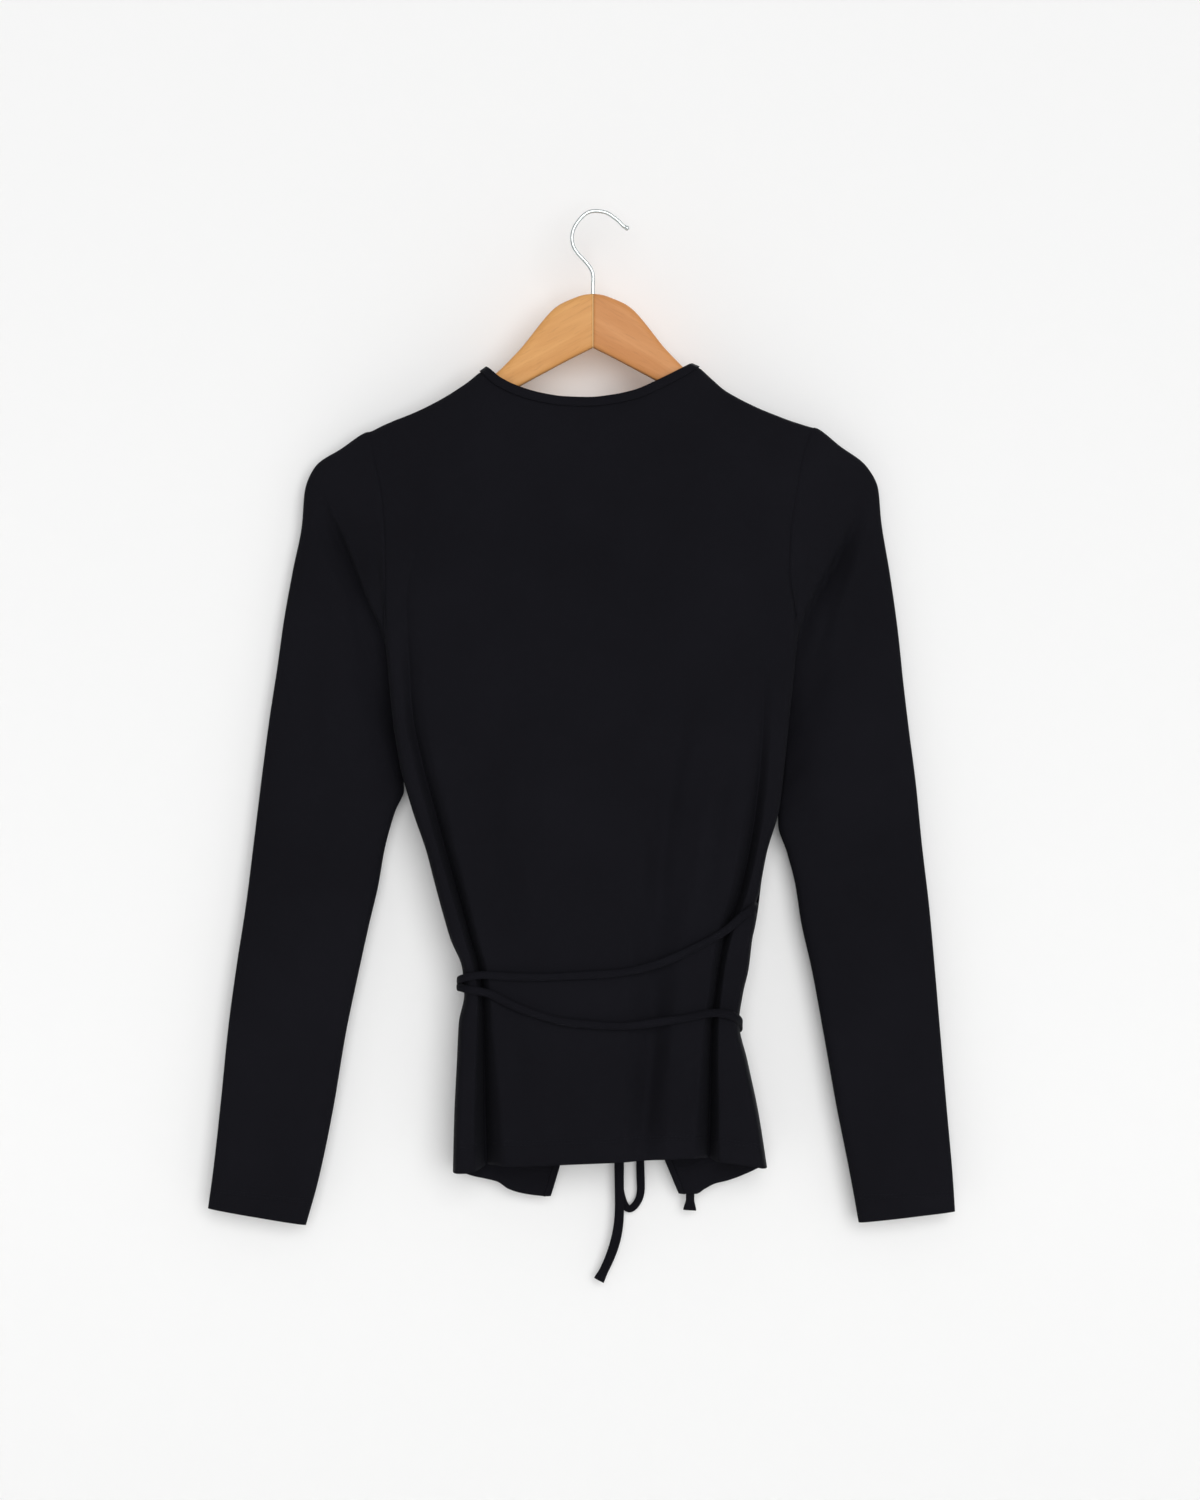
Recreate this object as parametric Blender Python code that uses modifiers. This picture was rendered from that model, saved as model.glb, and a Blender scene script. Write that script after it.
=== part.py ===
"""Wrap blouse of black jersey, hanging on a contoured wooden hanger with a wire hook.

The origin is the inner top of the hook, where a rail or a peg bears. +X is the wearer's right,
+Y the wearer's front and +Z up. Every table and size is in millimetres, and the meshes are in
metres. A height is a z value, so it is negative below the hook.
"""
import math

import bmesh
import bpy
import numpy as np
from mathutils import Matrix, Vector

MM = 0.001

# Cloth and seams
WALL = 1.4
SEAM_GAP = 0.3
SHOULDER_SEAM_GAP = 0.5
BAND_WIDTH = 6.0
BAND_WALL = 2.0
BAND_PROUD = 0.3
TIE_RADIUS = 2.6

# Hanger: the arms sweep forward from the centre, and the cloth over them follows
ARM_REACH = 222.0
ARM_SWEEP = 38.0
SWEEP_POWER = 1.6
WOOD_HALF = 6.0
TIP_HALF = 4.4
WOOD_ROUNDING = 0.65
WIRE_RADIUS = 1.5
WIRE_CLEARANCE = 0.4
WIRE_SPACING = 4.0
STEM_BOTTOM = -86.0

# Shoulder line of the blouse, over the hanger. Between the neck points it has no cloth.
# columns: x, height
SHOULDER_LINE = [
    (-176.6, -168.7), (-158.7, -161.2), (-140.5, -154.4), (-125.5, -147.5), (-113.6, -141.1),
    (-101.0, -133.2), (-89.2, -124.7), (-82.9, -120.1), (77.1, -117.8), (90.8, -127.1),
    (102.6, -137.0), (117.6, -145.3), (132.6, -152.1), (147.7, -157.7), (164.3, -163.4),
    (173.9, -165.4),
]
LEFT_NECK_POINT = (-82.9, -120.1)
RIGHT_NECK_POINT = (77.1, -117.8)

# Outer edge of the neck band across the back
# columns: x, height
BACK_NECK = [
    (-82.9, -120.1), (-70.1, -130.6), (-56.8, -136.7), (-43.5, -140.8), (-31.1, -143.6),
    (-17.8, -144.9), (-4.6, -145.3), (7.8, -144.5), (21.0, -142.1), (34.3, -138.8),
    (46.8, -133.2), (60.0, -126.7), (77.1, -117.8),
]

# Armhole seams, from the shoulder tip (share 0) to the underarm (share 1)
LEFT_SHOULDER_TIP = -168.7
RIGHT_SHOULDER_TIP = -165.4
LEFT_UNDERARM = -328.6
RIGHT_UNDERARM = -332.6
# columns: share of the armhole's height, left x, right x
ARMHOLES = [
    (0.00, -176.6, 173.9), (0.10, -173.8, 166.0), (0.20, -169.5, 162.7), (0.35, -165.2, 158.4),
    (0.50, -163.2, 154.8), (0.65, -162.6, 153.6), (0.80, -162.8, 156.0), (0.90, -163.0, 159.3),
    (1.00, -163.3, 160.1),
]

# Side seams of the body. The ties draw the waist in near -600.
# columns: height, left x, right x
SIDES = [
    (-330, -163.2, 160.2), (-355, -161.1, 158.2), (-380, -158.9, 155.4), (-411, -154.5, 152.2),
    (-443, -149.3, 148.9), (-470, -140.2, 145.1), (-497, -130.9, 136.8), (-521, -124.6, 132.1),
    (-544, -118.4, 129.4), (-568, -111.3, 124.7), (-583, -105.5, 122.8), (-597, -100.6, 121.0),
    (-608, -100.6, 117.5), (-621, -104.0, 113.2), (-634, -105.2, 111.8), (-662, -106.6, 121.0),
    (-709, -108.9, 130.9), (-735, -110.1, 135.8), (-750, -109.7, 136.6),
]

# How the flat body lies in depth: its middle, half its thickness, and how much of the hanger's
# sweep it keeps
# columns: height, middle, half thickness, sweep share
DEPTHS = [
    (-118, 0.0, 13.0, 1.00), (-165, 0.0, 13.0, 1.00), (-270, 2.0, 12.5, 0.78),
    (-330, 3.5, 12.5, 0.65), (-395, 5.0, 13.0, 0.50), (-445, 7.0, 14.0, 0.42),
    (-497, 8.0, 15.0, 0.35), (-600, 10.0, 18.0, 0.25), (-662, 11.0, 20.0, 0.22),
    (-775, 12.0, 23.0, 0.20),
]
RIDGE_DROP = 80.0
RIDGE_POWER = 0.25
SIDE_ROUND = 5.5
SEAM_STRIP = 0.6

# The two long folds that the ties gather in the back
# columns: height, x, depth, half width
LEFT_GROOVE = [
    (-250, -143.0, 0.0, 7.0), (-302, -146.1, 1.5, 7.0), (-349, -143.8, 3.0, 7.0),
    (-396, -140.7, 5.0, 7.0), (-442, -130.0, 8.0, 7.0), (-489, -117.4, 12.0, 6.0),
    (-528, -106.5, 15.0, 5.2), (-567, -95.6, 17.0, 4.6), (-606, -86.3, 18.0, 4.2),
    (-644, -85.5, 20.0, 5.2), (-691, -83.9, 23.0, 8.0), (-748, -81.9, 25.0, 10.5),
]
RIGHT_GROOVE = [
    (-250, 128.0, 0.0, 7.0), (-333, 133.0, 0.0, 7.0), (-380, 133.0, 0.6, 7.0),
    (-434, 130.5, 3.0, 7.0), (-489, 123.6, 8.0, 6.2), (-528, 115.4, 13.0, 5.4),
    (-574, 101.2, 17.0, 4.6), (-613, 95.7, 18.0, 4.2), (-644, 92.6, 20.0, 5.0),
    (-691, 91.8, 22.0, 6.4), (-745, 90.6, 24.0, 8.5),
]
# Points across a long fold
# columns: share of the half width, share of the depth when shallow, share when deep
GROOVE_SECTION = [
    (-1.00, 0.00, 0.00), (-0.62, 0.35, 0.12), (-0.42, 0.72, 0.80), (0.00, 1.00, 1.00),
    (0.42, 0.72, 0.80), (0.62, 0.35, 0.12), (1.00, 0.00, 0.00),
]
DEEP_FOLD = 14.0

# Soft folds of the body panels. A fold runs straight between its two ends.
# columns: panel, x and height of its top, x and height of its bottom, width, depth (minus stands out)
SOFT_FOLDS = [
    ("back", 80.0, -360.0, 52.0, -660.0, 17.0, 3.0),
    ("back", 54.0, -640.0, 46.0, -745.0, 14.0, 3.2),
    ("back", 112.0, -410.0, 100.0, -500.0, 9.0, 2.2),
    ("back", -66.0, -350.0, -61.0, -470.0, 20.0, 1.2),
    ("back", -40.0, -620.0, -34.0, -745.0, 22.0, -2.2),
    ("front_left", -100.0, -300.0, -82.0, -600.0, 15.0, 4.0),
    ("front_left", -80.0, -600.0, -72.0, -760.0, 11.0, 7.0),
    ("front_left", -64.0, -420.0, -36.0, -600.0, 14.0, 2.5),
    ("front_right", 104.0, -300.0, 92.0, -600.0, 15.0, 4.0),
    ("front_right", 90.0, -600.0, 86.0, -760.0, 10.0, 7.5),
    ("front_right", 84.0, -330.0, 64.0, -520.0, 11.0, 1.6),
]

# Hems. The back's hem is level, and the fronts dip to their edges.
# columns: x, height
BACK_HEM = [
    (-109.7, -748.8), (-99.7, -748.6), (-90.4, -747.0), (-82.0, -744.0), (-74.6, -742.6),
    (-68.3, -743.2), (-31.8, -741.8), (21.0, -739.9), (56.8, -737.6), (81.7, -737.0),
    (90.8, -739.0), (98.9, -739.8), (114.4, -741.9), (136.6, -745.4),
]
LEFT_FRONT_HEM = [
    (-109.7, -749.2), (-96.9, -754.5), (-82.9, -757.3), (-75.8, -758.9), (-70.2, -762.8),
    (-61.6, -766.9), (-49.8, -769.4), (-33.2, -771.7),
]
RIGHT_FRONT_HEM = [
    (67.5, -769.4), (80.0, -768.6), (86.8, -762.5), (100.2, -759.7), (112.0, -756.4),
    (123.6, -751.9), (136.6, -745.8),
]

# Outer edges of the front bands: a wrap neckline to the waist, then away to the hem
# columns: height, x
LEFT_FRONT_EDGE = [
    (-120.1, -82.9), (-200, -60.0), (-300, -31.5), (-400, -2.0), (-500, 28.5), (-560, 46.0),
    (-604, 54.0), (-640, 46.0), (-680, 21.0), (-715, -12.0), (-742, -31.0), (-772, -33.2),
]
RIGHT_FRONT_EDGE = [
    (-117.8, 77.1), (-200, 62.5), (-300, 45.0), (-400, 27.5), (-500, 11.0), (-560, 1.5),
    (-604, -5.0), (-640, 1.0), (-680, 20.0), (-715, 43.0), (-742, 58.0), (-770, 67.5),
]
# The right front lies over the left one
OVERLAP_LIFT = 3.4
OVERLAP_FROM = 76.0
OVERLAP_FULL = 58.0

# The slit in the right side seam that one tie comes out of
SLIT_HEIGHT = -539.6
SLIT_HALF_LENGTH = 13.0
SLIT_HALF_OPENING = 3.4
SLIT_NOTCH = 5.0

# Rows of the body panels. The first ones go round the armhole, from the shoulder seam to the
# underarm, and the others are heights of the side seam.
ARMHOLE_ANGLES = [0, 5, 13, 24, 45, 68, 90, 112, 135, 158, 180]
SIDE_ROWS = [
    -350, -388, -428, -466, -499, -521, -531, -539.6, -549, -567, -590, -610, -632, -662, -704,
]
TOP_BLEND_END = -330.0
HEM_BLEND_START = -650.0
SIDE_ANGLES = [0, 6, 30, 58, 90]
NECK_CORNER_STEPS = [0.0, 3.0, 7.0, 14.0]
SHOULDER_GAP = 0.6
SHOULDER_GAP_LENGTH = 12.0
BACK_CENTRE_POINTS = 7
FRONT_POINTS = 7
LEFT_NECK_COLUMN = 9
BLEND_HEIGHT = -300.0
UNDERARM_GAP = 0.9
UNDERARM_STRIP = 0.3

# Sleeve rings: the outer line runs over the shoulder and down the outside, the inner one from
# the underarm down the inside. The first ring is the armhole itself.
# columns: outer x, outer height, outer y, inner x, inner height, inner y, half thickness, power
LEFT_SLEEVE = [
    (-176.6, -168.7, 26.0, -163.3, -328.6, 18.6, 12.0, 0.50),
    (-198.7, -181.6, 32.0, -164.6, -343.0, 20.0, 11.6, 0.50),
    (-218.8, -194.6, 36.5, -163.0, -359.0, 22.5, 11.2, 0.50),
    (-227.6, -214.3, 38.0, -161.4, -374.0, 26.0, 10.8, 0.52),
    (-229.9, -241.2, 38.0, -159.4, -391.3, 30.0, 10.4, 0.56),
    (-237.0, -276.7, 38.0, -156.4, -411.0, 32.8, 10.0, 0.60),
    (-244.0, -316.2, 37.0, -151.6, -433.1, 33.5, 10.0, 0.62),
    (-249.5, -355.8, 36.0, -149.0, -450.0, 33.0, 10.0, 0.62),
    (-254.9, -391.3, 35.0, -156.1, -467.8, 32.0, 10.0, 0.62),
    (-261.1, -438.6, 34.0, -164.3, -497.7, 31.5, 9.8, 0.62),
    (-267.3, -489.9, 33.0, -169.1, -525.3, 31.0, 9.5, 0.62),
    (-273.6, -541.1, 32.0, -176.5, -556.8, 31.0, 9.2, 0.62),
    (-281.4, -592.3, 31.0, -185.1, -596.2, 30.0, 9.0, 0.62),
    (-287.6, -639.5, 30.0, -194.6, -641.8, 30.0, 8.7, 0.62),
    (-293.1, -694.6, 30.0, -204.1, -698.6, 30.0, 8.4, 0.62),
    (-299.3, -751.2, 29.0, -216.2, -757.5, 29.0, 8.2, 0.62),
    (-303.2, -779.6, 29.0, -226.0, -792.8, 29.0, 8.0, 0.62),
]
RIGHT_SLEEVE = [
    (173.9, -165.4, 26.0, 160.1, -332.6, 18.6, 12.0, 0.50),
    (195.5, -180.0, 32.0, 162.0, -347.0, 19.4, 11.6, 0.50),
    (215.5, -194.6, 36.5, 160.6, -363.7, 22.5, 11.2, 0.50),
    (225.2, -212.7, 38.0, 158.8, -379.5, 26.0, 10.8, 0.52),
    (227.5, -237.2, 38.0, 157.0, -396.8, 30.0, 10.4, 0.56),
    (234.6, -280.7, 38.0, 154.4, -417.3, 32.8, 10.0, 0.60),
    (240.8, -325.7, 37.0, 150.6, -439.4, 33.5, 10.0, 0.62),
    (244.7, -363.6, 36.0, 146.0, -462.3, 33.0, 10.0, 0.62),
    (249.3, -403.1, 35.0, 145.8, -477.5, 32.0, 10.0, 0.62),
    (254.8, -446.5, 34.0, 152.9, -500.1, 31.5, 9.8, 0.62),
    (259.4, -493.8, 33.0, 159.2, -524.5, 31.0, 9.5, 0.62),
    (264.9, -541.1, 32.0, 163.9, -554.4, 31.0, 9.2, 0.62),
    (269.5, -592.3, 31.0, 172.5, -593.0, 30.0, 9.0, 0.62),
    (273.4, -639.5, 30.0, 181.2, -640.3, 30.0, 8.7, 0.62),
    (278.1, -694.6, 30.0, 191.4, -697.8, 30.0, 8.4, 0.62),
    (283.5, -757.5, 29.0, 203.2, -757.5, 29.0, 8.2, 0.62),
    (285.1, -782.0, 29.0, 209.1, -790.8, 29.0, 8.0, 0.62),
]
ARMHOLE_FADE = [1.0, 0.62, 0.32, 0.12]

# Folds of the sleeves, from the outer cap in to the underarm
# columns: sleeve, x and height of its top, x and height of its bottom, width, depth
SLEEVE_FOLDS = [
    ("sleeve_left", -206.0, -240.0, -176.0, -298.0, 12.0, 6.0),
    ("sleeve_left", -178.0, -330.0, -168.0, -400.0, 10.0, 4.5),
    ("sleeve_left", -221.0, -330.0, -222.0, -460.0, 9.0, 1.6),
    ("sleeve_right", 206.0, -246.0, 174.0, -300.0, 12.0, 6.0),
    ("sleeve_right", 178.0, -345.0, 166.0, -430.0, 12.0, 4.5),
    ("sleeve_right", 234.0, -380.0, 228.0, -450.0, 8.0, 1.6),
]

# Hanger arm, the same on both sides of the centre
# columns: distance from the centre, top height, underside height
HANGER_ARM = [
    (0.15, -63.2, -105.3), (8.0, -64.2, -109.2), (16.0, -67.0, -113.2), (28.0, -72.8, -119.4),
    (37.5, -82.0, -124.4), (47.0, -93.8, -129.4), (56.0, -105.0, -134.3), (66.0, -115.4, -139.4),
    (76.0, -124.8, -144.4), (88.5, -132.8, -150.4), (104.0, -141.8, -157.9), (120.0, -151.4, -165.5),
    (140.0, -160.8, -174.6), (157.0, -168.0, -182.5), (175.0, -176.8, -190.7), (192.0, -186.0, -198.8),
    (206.0, -195.0, -205.8), (214.0, -201.6, -210.4), (218.6, -206.6, -212.0),
]
ARM_SIDES = 12

# Centre line of the hook's wire
# columns: x, height
HOOK_ROUTE = [
    (0.0, -84.0), (0.0, -74.0), (0.0, -64.0), (0.0, -55.0), (-0.4, -46.5), (-3.1, -41.4),
    (-7.8, -35.9), (-12.1, -31.2), (-15.6, -25.0), (-16.3, -18.8), (-15.6, -14.1), (-12.4, -7.8),
    (-7.8, -2.4), (-3.1, 0.7), (0.5, 1.5), (6.3, 1.2), (11.0, 0.0), (16.0, -3.2), (20.3, -6.6),
    (23.8, -10.2), (28.5, -12.5),
]

# The two ties, by hand: each is one line from the front edge it is sewn to as far as the knot.
# The left one goes under the right front and out through the slit. Both go round the back, over
# the left front and the right one, to the knot on the right front.
# columns: x, y, height
TIE_LEFT = [
    (58.2, 27.7, -602.5), (66.0, 25.9, -599.5), (78.0, 22.7, -592.0), (90.0, 20.2, -582.0),
    (100.4, 19.6, -570.4), (109.6, 18.6, -558.0), (118.0, 16.8, -546.2), (124.8, 14.3, -540.2),
    (129.0, 11.2, -539.6), (130.4, 5.6, -539.8), (129.4, -1.2, -541.0), (124.6, -7.6, -543.4),
    (116.0, -8.2, -548.8), (105.0, -8.4, -558.0), (91.0, -9.5, -566.6), (78.5, -10.3, -572.9),
    (60.7, -11.1, -581.3), (42.8, -11.5, -587.5), (24.9, -11.7, -591.4), (-1.5, -11.8, -593.7),
    (-37.2, -11.2, -595.4), (-73.0, -10.2, -594.5), (-87.9, -9.6, -594.0), (-98.8, -8.6, -594.8),
    (-104.6, -0.2, -596.6), (-105.4, 12.0, -598.6), (-104.6, 23.6, -599.8), (-96.4, 33.0, -600.2),
    (-80.0, 33.2, -599.6), (-55.0, 32.8, -597.4), (-30.0, 33.4, -597.2), (-14.0, 35.4, -598.6),
    (-2.0, 37.2, -601.6), (9.0, 37.6, -608.6), (16.5, 38.6, -615.4), (22.9, 40.0, -621.0),
]
TIE_RIGHT = [
    (-8.4, 34.4, -616.2), (-16.0, 33.6, -616.8), (-34.0, 32.8, -615.8), (-58.0, 33.0, -613.4),
    (-80.0, 33.4, -610.4), (-96.6, 33.0, -608.0), (-104.6, 23.4, -606.6), (-106.0, 12.0, -605.6),
    (-104.6, 0.4, -605.0), (-98.8, -8.4, -605.2), (-83.9, -10.6, -607.4), (-64.5, -11.8, -616.2),
    (-46.7, -12.9, -623.2), (-28.7, -13.2, -628.7), (-1.5, -12.9, -632.2), (24.9, -12.6, -633.3),
    (52.1, -11.8, -630.2), (78.5, -10.6, -626.0), (96.0, -10.4, -623.3), (107.4, -9.8, -625.2),
    (114.6, -2.0, -629.8), (116.4, 7.0, -633.7), (117.6, 18.0, -637.4), (116.0, 30.4, -639.9),
    (104.6, 37.0, -640.9), (88.0, 36.6, -639.6), (70.0, 36.8, -636.0), (56.0, 37.4, -631.8),
    (47.0, 38.8, -627.8), (39.6, 39.8, -624.8),
]
# The bow that hangs from the knot: a long loop and a long end that show below the hem, and a
# short loop and a short end
# columns: x, y, height
BOW_LOOP_LONG = [
    (27.6, 43.3, -630.3), (26.0, 44.6, -645.0), (24.4, 45.6, -670.0), (22.8, 46.4, -700.0),
    (21.4, 47.0, -732.0), (20.8, 47.0, -756.0), (22.6, 47.0, -773.0), (28.8, 47.0, -782.4),
    (35.6, 47.0, -776.0), (37.8, 47.0, -762.0), (37.2, 47.0, -740.0), (36.0, 46.4, -708.0),
    (34.8, 45.6, -672.0), (34.0, 44.6, -645.0), (33.6, 43.3, -630.5),
]
TIE_END_LONG = [
    (27.3, 37.6, -630.5), (25.6, 38.0, -645.0), (22.6, 39.2, -672.0), (21.0, 39.2, -705.0),
    (20.6, 39.8, -740.0), (20.8, 40.4, -770.0), (20.4, 40.6, -791.0), (17.4, 40.8, -808.0),
    (11.6, 41.0, -824.0), (4.6, 41.0, -838.2),
]
BOW_LOOP_SHORT = [
    (37.1, 44.3, -618.4), (46.0, 46.2, -618.8), (56.0, 47.0, -628.0), (61.5, 47.0, -645.0),
    (61.0, 46.8, -661.0), (56.0, 46.4, -668.0), (51.0, 46.2, -660.0), (48.6, 46.2, -645.0),
    (45.4, 46.0, -634.6), (39.1, 45.2, -625.6),
]
TIE_END_SHORT = [
    (34.0, 37.6, -630.6), (38.4, 38.0, -644.0), (46.0, 38.8, -664.0), (57.0, 39.4, -690.0),
    (66.0, 39.8, -712.0), (73.0, 39.8, -738.0), (76.6, 39.4, -764.0), (76.4, 39.4, -782.6),
]
KNOT_CENTRE = (30.8, 40.4, -624.0)
KNOT_HALF_SIZE = (8.6, 6.2, 6.6)
TIE_SPACING = 8.0
LOOP_SPACING = 5.5

COLOURS = {
    # columns: base colour, roughness, metallic
    "jersey": ((0.012, 0.012, 0.014), 0.85, 0.0),
    "pale_wood": ((0.56, 0.30, 0.13), 0.45, 0.0),
    "brown_wood": ((0.46, 0.22, 0.09), 0.45, 0.0),
    "bright_wire": ((0.70, 0.71, 0.72), 0.25, 1.0),
}


def clear_scene():
    """Remove every object, so that the file can be run again."""
    for old in list(bpy.data.objects):
        bpy.data.objects.remove(old, do_unlink=True)


def make_material(name):
    """Principled material of one finish."""
    colour, roughness, metallic = COLOURS[name]
    material = bpy.data.materials.new(name)
    material.use_nodes = True
    shader = material.node_tree.nodes["Principled BSDF"]
    shader.inputs["Base Color"].default_value = (*colour, 1.0)
    shader.inputs["Roughness"].default_value = roughness
    shader.inputs["Metallic"].default_value = metallic
    return material


def table_curve(across, values, at):
    """Read a table at any place: a cubic through every row that never overshoots one."""
    order = np.argsort(across)
    x = np.asarray(across, dtype=float)[order]
    y = np.asarray(values, dtype=float)[order]
    at = np.clip(np.asarray(at, dtype=float), x[0], x[-1])
    step = np.diff(x)
    rise = np.diff(y) / step
    slope = np.concatenate(([rise[0]], np.zeros(len(x) - 2), [rise[-1]]))
    same_way = rise[:-1] * rise[1:] > 0
    weight_a = 2 * step[1:] + step[:-1]
    weight_b = step[1:] + 2 * step[:-1]
    safe_a = np.where(same_way, rise[:-1], 1.0)
    safe_b = np.where(same_way, rise[1:], 1.0)
    mean = (weight_a + weight_b) / (weight_a / safe_a + weight_b / safe_b)
    slope[1:-1] = np.where(same_way, mean, 0.0)
    cell = np.clip(np.searchsorted(x, at) - 1, 0, len(x) - 2)
    t = (at - x[cell]) / step[cell]
    start = (1 + 2 * t) * (1 - t) ** 2 * y[cell] + t * (1 - t) ** 2 * step[cell] * slope[cell]
    end = t ** 2 * (3 - 2 * t) * y[cell + 1] + t ** 2 * (t - 1) * step[cell] * slope[cell + 1]
    return start + end


def column(table, index, at, key=0):
    """One column of a table, read at the key column's value."""
    return table_curve([row[key] for row in table], [row[index] for row in table], at)


def smooth_step(value):
    """0 below 0, 1 above 1, and an S between them."""
    t = np.clip(value, 0.0, 1.0)
    return t * t * (3 - 2 * t)


def smooth_route(points, spacing):
    """Points at an even spacing along a natural cubic spline through a route's own points."""
    points = np.asarray(points, dtype=float)
    knots = np.concatenate(([0.0], np.cumsum(np.linalg.norm(np.diff(points, axis=0), axis=1))))
    gaps = np.diff(knots)
    count = len(points)
    system = np.eye(count)
    right_side = np.zeros_like(points)
    for i in range(1, count - 1):
        system[i, i - 1:i + 2] = (gaps[i - 1], 2 * (gaps[i - 1] + gaps[i]), gaps[i])
        right_side[i] = 6 * ((points[i + 1] - points[i]) / gaps[i] - (points[i] - points[i - 1]) / gaps[i - 1])
    bend = np.linalg.solve(system, right_side)
    at = np.linspace(0.0, knots[-1], max(2, int(round(knots[-1] / spacing)) + 1))
    cell = np.clip(np.searchsorted(knots, at) - 1, 0, count - 2)
    h = gaps[cell][:, None]
    a = (knots[cell + 1] - at)[:, None] / h
    b = 1 - a
    curve = a * points[cell] + b * points[cell + 1]
    return curve + ((a ** 3 - a) * bend[cell] + (b ** 3 - b) * bend[cell + 1]) * h ** 2 / 6


def sweep(x):
    """How far forward the hanger's centre line lies at a distance from its middle."""
    return ARM_SWEEP * (np.abs(x) / ARM_REACH) ** SWEEP_POWER


def body_middle(x, z):
    """Depth of the surface midway between back and front."""
    return column(DEPTHS, 1, z) + column(DEPTHS, 3, z) * sweep(x)


def body_half(x, z):
    """Half the body's thickness: it opens quickly under the shoulder line, then slowly."""
    ridge = column(SHOULDER_LINE, 1, x)
    drop = np.clip((ridge - z) / RIDGE_DROP, 0.0, 1.0)
    return column(DEPTHS, 2, z) * (1 - (1 - drop) ** 2) ** RIDGE_POWER


def armhole_share(z, tip, underarm):
    """How far down the armhole a height is, from 0 at the shoulder tip to 1 at the underarm."""
    return np.clip((tip - z) / (tip - underarm), 0.0, 1.0)


def side_x(z, side):
    """Outer line of the body: the armhole seam down to the underarm, then the side seam."""
    tip, underarm, index = side_values(side)
    in_armhole = column(ARMHOLES, index, armhole_share(z, tip, underarm))
    return np.where(z > underarm, in_armhole, column(SIDES, index, np.minimum(z, underarm)))


def side_values(side):
    """Shoulder tip, underarm and table column of a side."""
    if side == "left":
        return LEFT_SHOULDER_TIP, LEFT_UNDERARM, 1
    return RIGHT_SHOULDER_TIP, RIGHT_UNDERARM, 2


def side_opening(z, side):
    """Share of the half thickness at the outer line: open round the armhole, 0 down the side seam."""
    tip, underarm, _ = side_values(side)
    share = np.maximum(armhole_share(z, tip, underarm), 0.5)
    return (4 * share * (1 - share)) ** RIDGE_POWER


def soft_folds(name, x, z, folds):
    """Depth of a piece's soft folds: a bell across each one, fading at both of its ends."""
    total = np.zeros_like(x)
    for owner, x0, z0, x1, z1, width, depth in folds:
        if owner != name:
            continue
        length = math.hypot(x1 - x0, z1 - z0)
        along = ((x - x0) * (x1 - x0) + (z - z0) * (z1 - z0)) / length ** 2
        across = ((x - x0) * (z1 - z0) - (z - z0) * (x1 - x0)) / length
        fade = smooth_step((along + 0.25) / 0.5) * smooth_step((1.25 - along) / 0.5)
        total += depth * fade * np.exp(-(across / width) ** 2)
    return total


def side_rows(side):
    """Heights of the panel rows along a side: round the armhole, then down to the hem."""
    tip, underarm, _ = side_values(side)
    share = (1 - np.cos(np.radians(ARMHOLE_ANGLES))) / 2
    hem = BACK_HEM[0][1] if side == "left" else BACK_HEM[-1][1]
    return np.concatenate((tip - share * (tip - underarm), SIDE_ROWS, [hem]))


def panel_heights(rows, top_z, hem_z):
    """Heights of a panel's grid: the rows, led up to the top edge and down to the hem."""
    top_fade = smooth_step((rows - TOP_BLEND_END) / (rows[0] - TOP_BLEND_END))
    hem_fade = smooth_step((rows - HEM_BLEND_START) / (rows[-1] - HEM_BLEND_START))
    return rows + (top_z - rows[0]) * top_fade + (hem_z - rows[-1]) * hem_fade


def slit_bump(z, side):
    """1 at the slit for the tie, falling to 0 at both of its ends."""
    if side == "left":
        return np.zeros_like(z)
    return np.cos(np.clip((z - SLIT_HEIGHT) / SLIT_HALF_LENGTH, -1.0, 1.0) * math.pi / 2) ** 2


def side_parting(z, side):
    """How far a panel's outer columns draw back from the side seam, wider at the slit for the tie."""
    fade = 1 - np.sin(np.radians(SIDE_ANGLES))
    underarm = len(ARMHOLE_ANGLES) - 1
    seam = np.where(np.arange(len(z)) >= underarm, SEAM_GAP / 2, 0.0)
    seam[underarm] += UNDERARM_GAP / 2
    return np.outer(seam, fade == 1.0) + SLIT_HALF_OPENING * np.outer(slit_bump(z, side), fade)


def outer_columns(z, side, notch=0.0):
    """x and share of the half thickness of the columns that round a side, outermost first."""
    edge = side_x(z, side)
    inward = 1.0 if side == "left" else -1.0
    base = side_opening(z, side)
    xs = []
    shares = []
    for angle in np.radians(SIDE_ANGLES):
        round_step = 1 - np.cos(angle)
        flat_step = angle / (math.pi / 2)
        step = SIDE_ROUND * (round_step + (flat_step - round_step) * base)
        xs.append(edge + inward * (step + notch * slit_bump(z, side) * (1 - round_step)))
        shares.append(base + (1 - base) * np.sin(angle))
    return xs, shares


def flatten_armhole_strip(x, y, z, edge_column, next_column, inward):
    """Lay the narrow strip along the armhole seam level, so that its wall meets the sleeve's."""
    rows = slice(0, len(ARMHOLE_ANGLES) - 1)
    x[rows, next_column] = x[rows, edge_column] + inward * SEAM_STRIP
    y[rows, next_column] = y[rows, edge_column]
    z[rows, next_column] = z[rows, edge_column]


def groove_columns(z, table):
    """x and depth of the columns across one long fold."""
    centre = column(table, 1, z)
    depth = column(table, 2, z)
    half = column(table, 3, z)
    deep = smooth_step(depth / DEEP_FOLD)
    xs = [centre + offset * half for offset, _, _ in GROOVE_SECTION]
    depths = [depth * (shallow + (steep - shallow) * deep) for _, shallow, steep in GROOVE_SECTION]
    return xs, depths


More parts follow.
